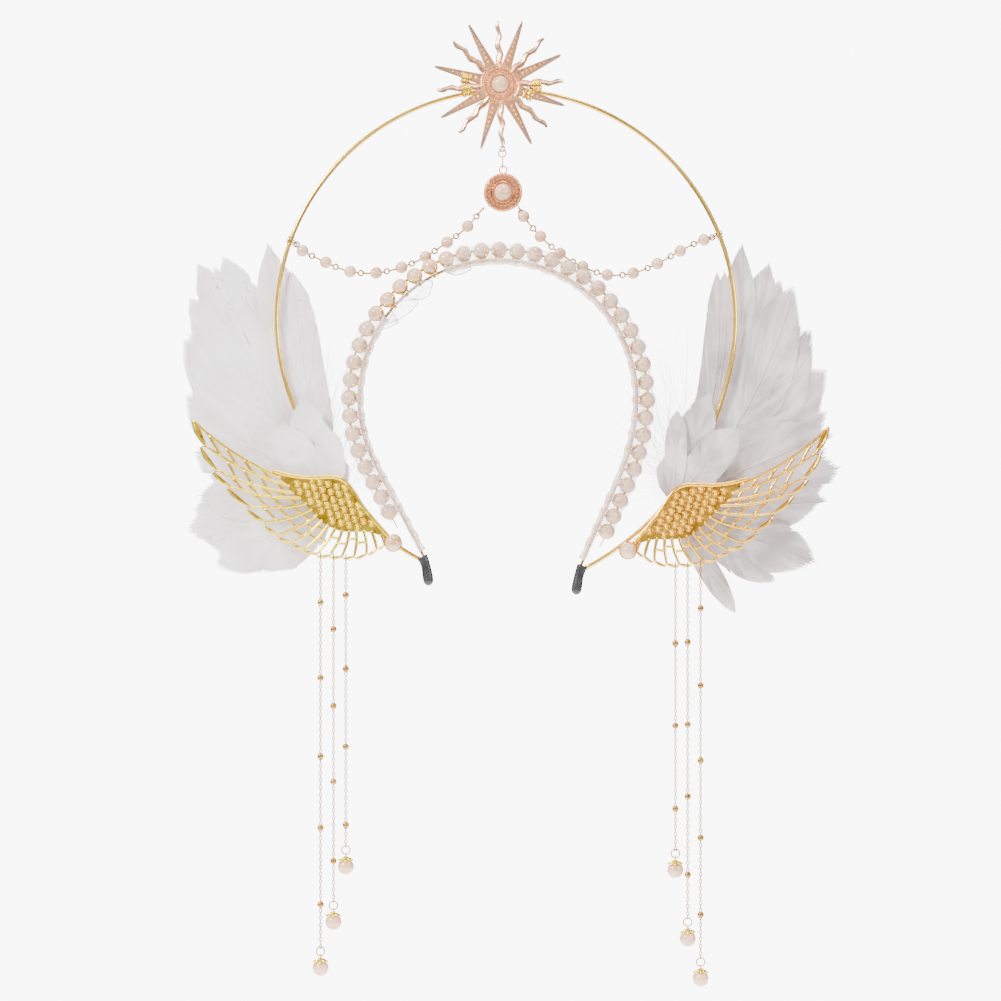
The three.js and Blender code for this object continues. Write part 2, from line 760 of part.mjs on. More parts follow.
// One row for each feather from the longest to the root: where its lower rib leaves the
// shoulder, where its tip is, and how many cells it has. Places are shares of the span.
const wingFeathers = [
  { ribX: 0.515, ribZ: 0.285, tipX: 1.005, tipZ: 0.618, cells: 5 },
  { ribX: 0.495, ribZ: 0.25, tipX: 0.963, tipZ: 0.481, cells: 5 },
  { ribX: 0.46, ribZ: 0.225, tipX: 0.9, tipZ: 0.355, cells: 5 },
  { ribX: 0.43, ribZ: 0.198, tipX: 0.829, tipZ: 0.274, cells: 4 },
  { ribX: 0.405, ribZ: 0.17, tipX: 0.731, tipZ: 0.169, cells: 4 },
  { ribX: 0.38, ribZ: 0.142, tipX: 0.644, tipZ: 0.085, cells: 3 },
  { ribX: 0.355, ribZ: 0.115, tipX: 0.577, tipZ: 0.025, cells: 3 },
  { ribX: 0.325, ribZ: 0.093, tipX: 0.5, tipZ: -0.01, cells: 3 },
  { ribX: 0.29, ribZ: 0.076, tipX: 0.444, tipZ: -0.042, cells: 2 },
  { ribX: 0.255, ribZ: 0.066, tipX: 0.38, tipZ: -0.066, cells: 2 },
  { ribX: 0.22, ribZ: 0.063, tipX: 0.314, tipZ: -0.073, cells: 2 },
  { ribX: 0.185, ribZ: 0.064, tipX: 0.252, tipZ: -0.077, cells: 2 },
  { ribX: 0.148, ribZ: 0.064, tipX: 0.188, tipZ: -0.077, cells: 2 },
  { ribX: 0.11, ribZ: 0.06, tipX: 0.124, tipZ: -0.059, cells: 1 },
  { ribX: 0.062, ribZ: 0.043, tipX: 0.075, tipZ: -0.031, cells: 1 },
];
// The front edge of the shoulder, from the stud to its pointed end, in the same shares.
const shoulderEdge = [
  { x: 0.023, z: 0.042 },
  { x: 0.086, z: 0.113 },
  { x: 0.149, z: 0.19 },
  { x: 0.198, z: 0.267 },
  { x: 0.233, z: 0.309 },
  { x: 0.275, z: 0.331 },
  { x: 0.436, z: 0.333 },
  { x: 0.521, z: 0.345 },
  { x: 0.598, z: 0.366 },
];
const leadRib = { x: 0.56, z: 0.328 };
const ribSag = 0.1;
// Where the notch between two feathers lies: its share of the way from the next feather's tip
// to this one's, then its share back to the rib's base, which is more under the last feather.
const notchShares = { across: 0.14, back: 0.07, lastBack: 0.2 };
// The rim above the first rib and its stations, and where the first feather's last cell ends.
const leadRim = 0.6;
const leadStations = 6;
const leadCellEnd = 0.92;
// Where a feather's first cell starts, and how much the cells of every second one are shifted.
const firstCell = 0.02;
const cellStagger = 0.35;
// The lug round the cup's post: its size as a share of the pearl, and its corners in degrees.
const lugShare = 0.4;
const lugCorners = [-40, -90, -140, 170, 120];
// The rows of stones: their slope in degrees, their distance as a share of the pitch, and how
// many rows and columns are tried.
const stoneSlope = 14;
const stoneRows = { share: 0.8, from: -12, to: 16 };
const stoneColumns = { from: -4, to: 20 };
const rimInset = 0.5;
const mitreLimit = 0.5;
// How far along and out the rounded end of a feather swells, and where a hook goes round it.
const endMiddle = 0.45;
const endSwell = 0.09;
const hookShare = 0.27;
const rootEnd = { x: 0.035, z: -0.012 };

/** A point of the wing from its shares. */
function wingPoint(x, z) {
  return new THREE.Vector2(x * wingSpan, z * wingSpan);
}

/** A rib between two points, sagging below the straight line. */
function ribCurve(from, to) {
  const chord = to.clone().sub(from);
  const control = from.clone().addScaledVector(chord, 0.5);
  control.add(new THREE.Vector2(chord.y, -chord.x).multiplyScalar(ribSag));
  return new THREE.QuadraticBezierCurve(from, control, to);
}

/** An outline whose edges are drawn in by a distance, less so at its sharpest corners. */
function inset(points, distance) {
  const area = THREE.ShapeUtils.area(points);
  const sign = Math.sign(area);
  return points.map((point, i) => {
    const before = points[(i + points.length - 1) % points.length];
    const after = points[(i + 1) % points.length];
    const a = point.clone().sub(before).normalize();
    const b = after.clone().sub(point).normalize();
    const normal = new THREE.Vector2(-(a.y + b.y), a.x + b.x).normalize().multiplyScalar(sign);
    const lean = Math.abs(normal.y * a.x - normal.x * a.y);
    return point.clone().addScaledVector(normal, distance / Math.max(mitreLimit, lean));
  });
}

/** The ribs of the wing: one above the first feather and one under each. */
function wingRibs() {
  const tips = wingFeathers.map(({ tipX, tipZ }) => wingPoint(tipX, tipZ));
  const ribs = [ribCurve(wingPoint(leadRib.x, leadRib.z), tips[0])];
  wingFeathers.forEach(({ ribX, ribZ }, i) => {
    const base = wingPoint(ribX, ribZ);
    const next = tips[i + 1] ?? wingPoint(rootEnd.x, rootEnd.z);
    const notch = next.clone().lerp(tips[i], notchShares.across);
    notch.lerp(base, tips[i + 1] ? notchShares.back : notchShares.lastBack);
    ribs.push(ribCurve(base, notch));
  });
  return { ribs, tips };
}

/** The rounded end of a wing feather, between its tip and the notch before the next one. */
function featherEnd(tip, notch) {
  const swell = new THREE.Vector2(tip.y - notch.y, notch.x - tip.x).multiplyScalar(endSwell);
  return tip.clone().lerp(notch, endMiddle).add(swell);
}

/** Where a tassel's hook goes through the last cell of a feather, round its rim. */
function hookPlace(index) {
  const { ribs, tips } = wingRibs();
  const tip = tips[index];
  const notch = ribs[index + 1].getPoint(1);
  const edge = tip.clone().lerp(featherEnd(tip, notch), hookShare / endMiddle);
  const line = tip.clone().lerp(notch, hookShare);
  const inwards = line.clone().sub(edge);
  const rim = inwards.length() + ribWidth / 2;
  return edge.addScaledVector(inwards.normalize(), rim / 2);
}

/** The corners of each cell of one feather, between its two ribs. */
function featherCells(ribs, tips, row) {
  const [upper, lower] = [ribs[row], ribs[row + 1]];
  const { cells } = wingFeathers[row];
  const stagger = row % 2 ? cellStagger / cells : 0;
  const outlines = [];
  for (let k = 0; k < cells; k += 1) {
    const from = Math.max(firstCell, k / cells - (k ? stagger : 0));
    const to = (k + 1) / cells - stagger;
    const start = [lower.getPoint(from), upper.getPoint(from)];
    if (k < cells - 1) outlines.push([...start, upper.getPoint(to), lower.getPoint(to)]);
    else if (row === 0) outlines.push([...start, upper.getPoint(leadCellEnd), lower.getPoint(1)]);
    else outlines.push([...start, upper.getPoint(1), tips[row], lower.getPoint(1)]);
  }
  return outlines;
}

/** The outline of a whole wing and the cells cut through it. */
function wingShape() {
  const { ribs, tips } = wingRibs();
  const outline = shoulderEdge.map(({ x, z }) => wingPoint(x, z));
  for (let i = 0; i <= leadStations; i += 1) {
    const { x, y } = ribs[0].getTangent(i / leadStations);
    const above = new THREE.Vector2(-y, x).multiplyScalar(ribWidth * leadRim);
    outline.push(ribs[0].getPoint(i / leadStations).add(above));
  }
  tips.forEach((tip, i) => {
    const notch = ribs[i + 1].getPoint(1);
    outline.push(tip, featherEnd(tip, notch), notch);
  });
  const lug = cupPearl * lugShare;
  for (const angle of lugCorners.map(rad)) {
    outline.push(new THREE.Vector2(lug * Math.cos(angle), lug * Math.sin(angle)));
  }
  const shape = new THREE.Shape(outline);
  const cells = tips.flatMap((_, row) => featherCells(ribs, tips, row));
  for (const corners of cells) {
    const cell = inset(corners, ribWidth / 2);
    const open = Math.abs(THREE.ShapeUtils.area(cell)) > ribWidth * ribWidth;
    if (open) shape.holes.push(new THREE.Path(cell.reverse()));
  }
  shape.holes.push(new THREE.Path(ring(postRadius + gap, tipSides).getPoints()));
  return shape;
}

/** The bounds of the solid shoulder, where the stones sit. */
function shoulderBounds() {
  const front = shoulderEdge.map(({ x, z }) => wingPoint(x, z));
  const back = wingFeathers.map(({ ribX, ribZ }) => wingPoint(ribX, ribZ));
  return inset([...front, ...back], stoneRadius + rimRadius / 2);
}

/** Whether a point lies inside an outline. */
function inside({ x, y }, outline) {
  let hit = false;
  outline.forEach((a, i) => {
    const b = outline[(i + 1) % outline.length];
    const crosses = a.y > y !== b.y > y;
    if (crosses && x < ((b.x - a.x) * (y - a.y)) / (b.y - a.y) + a.x) hit = !hit;
  });
  return hit;
}

/** The places of the stones: staggered rows that run along the shoulder's slope. */
function stonePlaces() {
  const bounds = shoulderBounds();
  const places = [];
  for (let row = stoneRows.from; row < stoneRows.to; row += 1) {
    for (let column = stoneColumns.from; column < stoneColumns.to; column += 1) {
      const along = (column + (row % 2 ? 0.5 : 0)) * stonePitch;
      const place = new THREE.Vector2(along, row * stonePitch * stoneRows.share);
      place.rotateAround(new THREE.Vector2(), rad(stoneSlope));
      if (inside(place, bounds)) places.push(place);
    }
  }
  return places;
}

// The tassels: which wing feather each hangs from, and how far down its pearl is.
const tassels = [
  { side: 'left', number: 1, feather: 9, drop: 205.5 },
  { side: 'left', number: 2, feather: 10, drop: 182 },
  { side: 'left', number: 3, feather: 11, drop: 154 },
  { side: 'right', number: 1, feather: 9, drop: 207 },
  { side: 'right', number: 2, feather: 10, drop: 186.5 },
  { side: 'right', number: 3, feather: 11, drop: 152 },
];

const wingBack = -haloWire / 2 - gap - vaneThickness - 2 * vaneStep - gap;
const wingFront = wingBack - wingThickness;

function wingSolid() {
  const parts = [plate(wingShape(), wingFront, wingBack)];
  const edge = shoulderEdge.map(({ x, z }) => new THREE.Vector3(x * wingSpan, 0, z * wingSpan));
  const rim = rod(new THREE.CatmullRomCurve3(edge), rimRadius, 6, 12);
  rim.translate(rimInset, wingFront, -rimInset);
  parts.push(rim);
  for (const { x, y } of stonePlaces()) {
    const stone = new THREE.ConeGeometry(stoneRadius, stoneHeight + gap, 4).rotateX(Math.PI);
    stone.translate(x, wingFront - stoneHeight / 2 + gap / 2, y);
    parts.push(stone);
  }
  return fuse(parts);
}

function buildWing(side, wing) {
  const { x, z } = cupPlaces[side];
  const shape = wing.clone();
  shape.scale(sides[side], 1, 1);
  shape.translate(x, 0, z);
  piece(`gold_wing_${side}`, shape, gold, upright);

  const radius = cupPearl / 2;
  const rimDepth = wingFront - gap - cupWall;
  const mouth = rimDepth - radius / 2;
  const cup = turned([
    { depth: -haloWire / 2 - gap, radius: 0 },
    { depth: -haloWire / 2 - gap, radius: postRadius },
    { depth: wingFront - gap, radius: postRadius },
    { depth: wingFront - gap, radius: radius * cupFloor },
    { depth: mouth, radius: radius + gap + cupWall },
    { depth: mouth, radius: radius + gap },
    { depth: rimDepth, radius: radius * cupFloor },
    { depth: rimDepth, radius: 0 },
  ], beadSides + 2);
  cup.translate(x, 0, z);
  piece(`wing_cup_${side}`, cup, gold, upright);
  const ball = new THREE.SphereGeometry(radius, beadSides + 2, 7);
  ball.translate(x, rimDepth - gap - radius, z);
  piece(`wing_pearl_${side}`, ball, pearl, upright);
}

// The feathers: blades that spread from a pad of quills.

// A blade's half width along its length, as shares of its width and length.
const vane = [
  { along: 0, half: 0.06 },
  { along: 0.16, half: 0.3 },
  { along: 0.45, half: 0.48 },
  { along: 0.74, half: 0.49 },
  { along: 0.94, half: 0.27 },
];

// Each plume's quill pad, and a row for each blade: its reach and width as shares of the
// plume's reach, the way it points in degrees out from straight up, and its layer.
const plumes = {
  left: {
    pad: { x: -82, z: -119 },
    back: [
      { reach: 0.98, width: 0.17, points: 16.5, layer: 1, bow: -0.03 },
      { reach: 0.86, width: 0.15, points: 12.5, layer: 0, bow: -0.04 },
      { reach: 1.0, width: 0.2, points: 22.5, layer: 2, bow: 0.03 },
      { reach: 1.01, width: 0.2, points: 27, layer: 1, bow: 0.05 },
      { reach: 0.92, width: 0.2, points: 32.5, layer: 0, bow: 0.05 },
      { reach: 0.82, width: 0.22, points: 39.5, layer: 2, bow: 0.06 },
      { reach: 0.68, width: 0.22, points: 51, layer: 1, bow: 0.06 },
      { reach: 0.5, width: 0.17, points: 88, layer: 0, bow: -0.03 },
      { reach: 0.55, width: 0.2, points: 101, layer: 2, bow: -0.02 },
      { reach: 0.49, width: 0.19, points: 116, layer: 1, bow: 0.03 },
      { reach: 0.34, width: 0.15, points: 133, layer: 0, bow: 0.03 },
    ],
    front: [
      { reach: 0.4, width: 0.14, points: 17, layer: 0, bow: 0.04 },
      { reach: 0.36, width: 0.14, points: 36, layer: 1, bow: 0.04 },
      { reach: 0.29, width: 0.1, points: 4, layer: 1, bow: 0.02 },
      { reach: 0.17, width: 0.08, points: -10, layer: 0, bow: 0.02 },
    ],
  },
  right: {
    pad: { x: 88, z: -119 },
    back: [
      { reach: 0.98, width: 0.14, points: 16, layer: 1, bow: -0.02 },
      { reach: 0.86, width: 0.1, points: 11.5, layer: 0, bow: -0.02 },
      { reach: 0.96, width: 0.17, points: 20, layer: 2, bow: 0.03 },
      { reach: 0.92, width: 0.19, points: 27, layer: 0, bow: 0.04 },
      { reach: 0.83, width: 0.19, points: 36, layer: 1, bow: 0.05 },
      { reach: 0.76, width: 0.2, points: 46, layer: 2, bow: 0.05 },
      { reach: 0.64, width: 0.2, points: 63, layer: 0, bow: 0.06 },
      { reach: 0.6, width: 0.19, points: 82, layer: 1, bow: 0.03 },
      { reach: 0.58, width: 0.18, points: 96, layer: 2, bow: 0.02 },
      { reach: 0.48, width: 0.18, points: 112, layer: 0, bow: 0.03 },
      { reach: 0.48, width: 0.15, points: 129, layer: 1, bow: 0.03 },
      { reach: 0.46, width: 0.08, points: 155, layer: 0, bow: -0.08 },
    ],
    front: [
      { reach: 0.42, width: 0.13, points: 15, layer: 0, bow: 0.05 },
      { reach: 0.36, width: 0.14, points: 38, layer: 1, bow: 0.04 },
      { reach: 0.34, width: 0.08, points: 1, layer: 1, bow: 0.02 },
      { reach: 0.18, width: 0.08, points: -13, layer: 0, bow: 0.02 },
    ],
  },
};

/** One feather's outline, pointing up, its stem bowed to the outer side. */
function bladeShape(length, width, bow) {
  const at = (along, aside) => {
    const sway = bow * length * along ** 2;
    return new THREE.Vector2(aside * width + sway, along * length);
  };
  const right = vane.map(({ along, half }) => at(along, half));
  const left = vane.map(({ along, half }) => at(along, -half)).reverse();
  return new THREE.Shape([...right, at(1, 0), ...left]);
}

/** A plume: its blades and their pad in one body, on one face of the halo's plane. */
function buildPlume(side, layer) {
  const { pad } = plumes[side];
  const facing = layer === 'back' ? 1 : -1;
  const near = facing * (haloWire / 2 + gap);
  const parts = plumes[side][layer].map(({ reach: share, width, points, layer: depth, bow }) => {
    const shape = bladeShape(share * plumeReach, width * plumeReach, bow);
    const start = near + facing * depth * vaneStep;
    const end = start + facing * vaneThickness;
    const blade = plate(shape, Math.min(start, end), Math.max(start, end));
    return blade.rotateY(rad(points)).scale(sides[side], 1, 1);
  });
  const far = near + facing * (vaneThickness + 2 * vaneStep);
  parts.push(plate(ring(quillPad, 10), Math.min(near, far), Math.max(near, far)));
  const plume = fuse(parts).translate(pad.x, 0, pad.z);
  piece(`plume_${layer}_${side}`, plume, feather, upright);
}

function buildTassel({ side, number, feather: index, drop }) {
  const cup = cupPlaces[side];
  const hung = hookPlace(index);
  const tip = onHalo(cup.x + sides[side] * hung.x, (wingFront + wingBack) / 2, cup.z + hung.y);
  const place = (geometry, z) => geometry.translate(tip.x, tip.y, z);
  const tag = `${side}_${number}`;
  const hook = link(hookRadius, hookWire, 0, findingSides).rotateY(Math.PI / 2);
  piece(`hook_${tag}`, place(hook, tip.z), gold);

  const pearlZ = tip.z - drop;
  const radius = dropPearl / 2;
  const loopRise = radius + gap + capWall + capLoop - hookWire / 4;
  const loopZ = pearlZ + loopRise;
  const ringZ = loopZ + capLoop - hookWire - gap + endRingRadius;
  const ringTop = ringZ + endRingRadius + hookWire / 2 + gap;
  const chainTop = tip.z - hookRadius - hookWire / 2 - gap;
  const chainLength = chainTop - ringTop;
  const chain = new THREE.CylinderGeometry(chainRadius, chainRadius, chainLength, chainSides);
  chain.rotateX(Math.PI / 2);
  piece(`chain_${tag}`, place(chain, (chainTop + ringTop) / 2), gold);
  const endRing = link(endRingRadius, hookWire, 0, findingSides).rotateX(Math.PI / 2);
  piece(`end_ring_${tag}`, place(endRing, ringZ), gold);

  const rim = (skin) => new THREE.Vector2(skin * Math.sin(rad(capReach)), skin * Math.cos(rad(capReach)));
  const [inner, outer] = [radius + gap, radius + gap + capWall];
  const profile = [new THREE.Vector2(0, outer), rim(outer), rim(inner), new THREE.Vector2(0, inner)];
  const cap = new THREE.LatheGeometry(profile, beadSides).rotateX(Math.PI / 2);
  const loop = link(capLoop, hookWire, 0, findingSides).rotateY(Math.PI / 2);
  loop.translate(0, 0, loopRise);
  piece(`drop_cap_${tag}`, place(fuse([cap, loop]), pearlZ), gold);
  const ball = new THREE.SphereGeometry(radius, beadSides, 6).rotateX(Math.PI / 2);
  piece(`drop_pearl_${tag}`, place(ball, pearlZ), pearl);
}

buildStrip();
buildPearls();
buildRibbons();
buildHalo();
buildSun();
buildPendant();
const wing = wingSolid();
for (const side of Object.keys(sides)) {
  buildTip(side);
  buildLashing(side);
  buildSwag(side);
  buildWing(side, wing);
  buildPlume(side, 'back');
  buildPlume(side, 'front');
}
tassels.forEach(buildTassel);

export default group;
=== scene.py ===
# %% [markdown]
# # A halo headband, dressed in Blender
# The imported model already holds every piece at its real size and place. This lesson gives those
# pieces their fine shape and finish: smooth pearls, wound wire, pierced gold wings, organza and
# feathers. Lengths are worked out in millimetres and become metres when a mesh is made.

import math

import bmesh
import bpy
import numpy as np
from mathutils import Matrix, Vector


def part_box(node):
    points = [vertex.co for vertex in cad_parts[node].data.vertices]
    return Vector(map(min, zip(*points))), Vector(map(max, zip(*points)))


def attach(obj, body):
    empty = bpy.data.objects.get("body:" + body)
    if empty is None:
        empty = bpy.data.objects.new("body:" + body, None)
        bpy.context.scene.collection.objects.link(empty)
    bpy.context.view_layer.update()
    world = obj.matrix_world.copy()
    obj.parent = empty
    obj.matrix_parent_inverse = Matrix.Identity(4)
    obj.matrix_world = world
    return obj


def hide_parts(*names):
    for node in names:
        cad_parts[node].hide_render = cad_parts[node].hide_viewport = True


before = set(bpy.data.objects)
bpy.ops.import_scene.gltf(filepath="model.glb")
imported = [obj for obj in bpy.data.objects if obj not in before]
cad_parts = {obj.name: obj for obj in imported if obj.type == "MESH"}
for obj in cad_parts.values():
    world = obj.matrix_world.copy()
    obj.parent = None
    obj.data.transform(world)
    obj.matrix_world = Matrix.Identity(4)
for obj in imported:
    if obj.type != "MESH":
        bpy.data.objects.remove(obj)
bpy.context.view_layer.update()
MM = 0.001
SIDES = {"left": -1, "right": 1}


def box_mm(node):
    low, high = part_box(node)
    return np.array(low) / MM, np.array(high) / MM


# %% [markdown]
# ## From sums to meshes
# Most pieces here are stock carried along a route: wire, ribbon, thread and ribs. So the first
# helpers gather corners and faces, sweep a section along a route, and turn a profile on a lathe.

# %% Gather corners and faces


class Stock:
    """Corners, faces and flat coordinates of one piece, in millimetres."""

    def __init__(self):
        self.corners = []
        self.faces = []
        self.flat = []
        self.count = 0

    def add(self, corners, faces, flat=None):
        corners = np.asarray(corners, float).reshape(-1, 3)
        flat = np.zeros((len(corners), 2)) if flat is None else np.asarray(flat, float)
        self.faces.extend([[corner + self.count for corner in face] for face in faces])
        self.corners.append(corners)
        self.flat.append(flat.reshape(-1, 2))
        self.count += len(corners)


def grid_faces(rows, columns, wrap_rows=False, wrap_columns=False):
    """Faces of a grid of corners that is numbered row by row."""
    row = np.arange(rows if wrap_rows else rows - 1)
    column = np.arange(columns if wrap_columns else columns - 1)
    row, column = np.meshgrid(row, column, indexing="ij")
    next_row, next_column = (row + 1) % rows, (column + 1) % columns
    a, b = row * columns + column, row * columns + next_column
    c, d = next_row * columns + next_column, next_row * columns + column
    return np.stack([a, b, c, d], axis=-1).reshape(-1, 4).tolist()


def end_faces(rows, columns):
    """Faces that close both ends of a grid that is wrapped round."""
    last = (rows - 1) * columns
    return [list(range(columns)), [last + column for column in reversed(range(columns))]]


def unit(vectors):
    vectors = np.asarray(vectors, float)
    return vectors / np.maximum(np.linalg.norm(vectors, axis=-1, keepdims=True), 1e-9)


# %% Sweep a section along a route


def round_section(radius, sides=8):
    turn = np.arange(sides) * 2 * math.pi / sides
    return np.stack([radius * np.cos(turn), radius * np.sin(turn)], axis=1)


def sweep(stock, points, across, depth, section, loop=False, scales=None):
    """A closed section carried along a route; across and depth turn it at each station."""
    points = np.asarray(points, float)
    section = np.asarray(section, float)
    count, sides = len(points), len(section)
    scales = np.ones(count) if scales is None else np.asarray(scales, float)
    shift = across[:, None] * section[None, :, :1] + depth[:, None] * section[None, :, 1:]
    corners = points[:, None] + shift * scales[:, None, None]
    faces = grid_faces(count, sides, loop, True)
    if not loop:
        faces += end_faces(count, sides)
    gone = np.concatenate([[0], np.cumsum(np.linalg.norm(np.diff(points, axis=0), axis=1))])
    round_share = np.arange(sides) / sides
    flat = np.stack(np.meshgrid(gone, round_share, indexing="ij"), axis=-1)
    stock.add(corners, faces, flat)


def carried_frames(points, loop=False):
    """Across and depth directions that travel along a route without twisting."""
    points = np.asarray(points, float)
    if loop:
        ahead = unit(np.roll(points, -1, axis=0) - np.roll(points, 1, axis=0))
    else:
        ahead = unit(np.gradient(points, axis=0))
    start = np.array([0, 1.0, 0]) if abs(ahead[0][1]) < 0.8 else np.array([1.0, 0, 0])
    across = [unit(np.cross(start, ahead[0]))]
    for direction in ahead[1:]:
        last = across[-1]
        across.append(unit(last - direction * last.dot(direction)))
    across = np.array(across)
    return across, np.cross(ahead, across)


def tube(stock, points, radius, sides=8, loop=False, scales=None):
    across, depth = carried_frames(points, loop)
    sweep(stock, points, across, depth, round_section(radius, sides), loop, scales)


def circle(centre, radius, first, second, steps=24):
    """Points round a centre, in the plane of two directions."""
    turn = np.arange(steps)[:, None] * 2 * math.pi / steps
    first, second = np.asarray(first, float), np.asarray(second, float)
    return np.asarray(centre, float) + radius * (np.cos(turn) * first + np.sin(turn) * second)


def at(distances, gone, line):
    """Points at given distances along a polyline."""
    return np.stack([np.interp(distances, gone, line[:, axis]) for axis in range(3)], axis=1)


def evenly(line, step):
    """Distances and points at even steps along a polyline."""
    gone = np.concatenate([[0], np.cumsum(np.linalg.norm(np.diff(line, axis=0), axis=1))])
    even = np.linspace(0, gone[-1], int(gone[-1] / step) + 1)
    return even, at(even, gone, line)


def smooth_route(chosen, step=0.25):
    """An even polyline on a rounded curve through chosen points."""
    chosen = np.asarray(chosen, float)
    ends = np.vstack([2 * chosen[0] - chosen[1], chosen, 2 * chosen[-1] - chosen[-2]])
    pieces = []
    for a, b, c, d in zip(ends, ends[1:], ends[2:], ends[3:]):
        t1 = np.linalg.norm(b - a) ** 0.5
        t2 = t1 + np.linalg.norm(c - b) ** 0.5
        t3 = t2 + np.linalg.norm(d - c) ** 0.5
        t = np.linspace(t1, t2, 40, endpoint=False)[:, None]
        ab = (t1 - t) / t1 * a + t / t1 * b
        bc = ((t2 - t) * b + (t - t1) * c) / (t2 - t1)
        cd = ((t3 - t) * c + (t - t2) * d) / (t3 - t2)
        abc = (t2 - t) / t2 * ab + t / t2 * bc
        bcd = ((t3 - t) * bc + (t - t1) * cd) / (t3 - t1)
        pieces.append(((t2 - t) * abc + (t - t1) * bcd) / (t2 - t1))
    return evenly(np.vstack([*pieces, chosen[-1:]]), step)


RIGHTWARD = np.array([1.0, 0, 0])
BACKWARD = np.array([0, 1.0, 0])
UPWARD = np.array([0, 0, 1.0])

# %% Turn a profile on a lathe


def turned(stock, centre, rows, sides=48, axis=BACKWARD, aside=RIGHTWARD):
    """A closed turned form; rows give how far along the axis and how wide."""
    rows = np.asarray(rows, float)
    other = np.cross(axis, aside)
    turn = np.arange(sides) * 2 * math.pi / sides
    spoke = np.cos(turn)[:, None] * aside + np.sin(turn)[:, None] * other
    corners = np.asarray(centre, float) + rows[:, :1, None] * axis + rows[:, 1:, None] * spoke
    stock.add(corners, grid_faces(len(rows), sides, False, True))


def ball_rows(radius, low=-90, high=90, steps=16):
    angle = np.radians(np.linspace(low, high, steps + 1))
    return np.stack([radius * np.sin(angle), radius * np.abs(np.cos(angle))], axis=1)


# %% Make a finished piece


def settle(obj, replaces=()):
    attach(obj, "root")
    if replaces:
        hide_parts(*replaces)
    print(obj.name, len(obj.data.polygons), "faces")
    return obj


def face_outward(mesh, merge=False):
    tidy = bmesh.new()
    tidy.from_mesh(mesh)
    if merge:
        bmesh.ops.remove_doubles(tidy, verts=tidy.verts, dist=1e-6)
    bmesh.ops.recalc_face_normals(tidy, faces=tidy.faces)
    tidy.to_mesh(mesh)
    tidy.free()


def make(name, stock, material, replaces=(), sharp=None, closed=True):
    """One object at the origin from gathered stock, with its finish."""
    mesh = bpy.data.meshes.new(name)
    corners = np.vstack(stock.corners) * MM
    mesh.from_pydata(corners.tolist(), [], stock.faces)
    flat = np.vstack(stock.flat)
    turn = np.empty(len(mesh.loops), dtype=np.int32)
    mesh.loops.foreach_get("vertex_index", turn)
    mesh.uv_layers.new(name="flat").data.foreach_set("uv", flat[turn].ravel())
    if closed:
        face_outward(mesh, merge=True)
    mesh.shade_smooth()
    if sharp:
        mesh.set_sharp_from_angle(angle=math.radians(sharp))
    mesh.materials.append(material)
    obj = bpy.data.objects.new(name, mesh)
    bpy.context.scene.collection.objects.link(obj)
    return settle(obj, replaces)


# %% [markdown]
# ## Copies with Geometry Nodes
# Pearls, rings, chain links, studs and granules repeat by the dozen. A tree puts one small shape
# on every point of a mesh, turned and scaled by that point's own attributes. The result is
# realised and becomes a plain mesh.

# %% Build the tree for one kind of copy


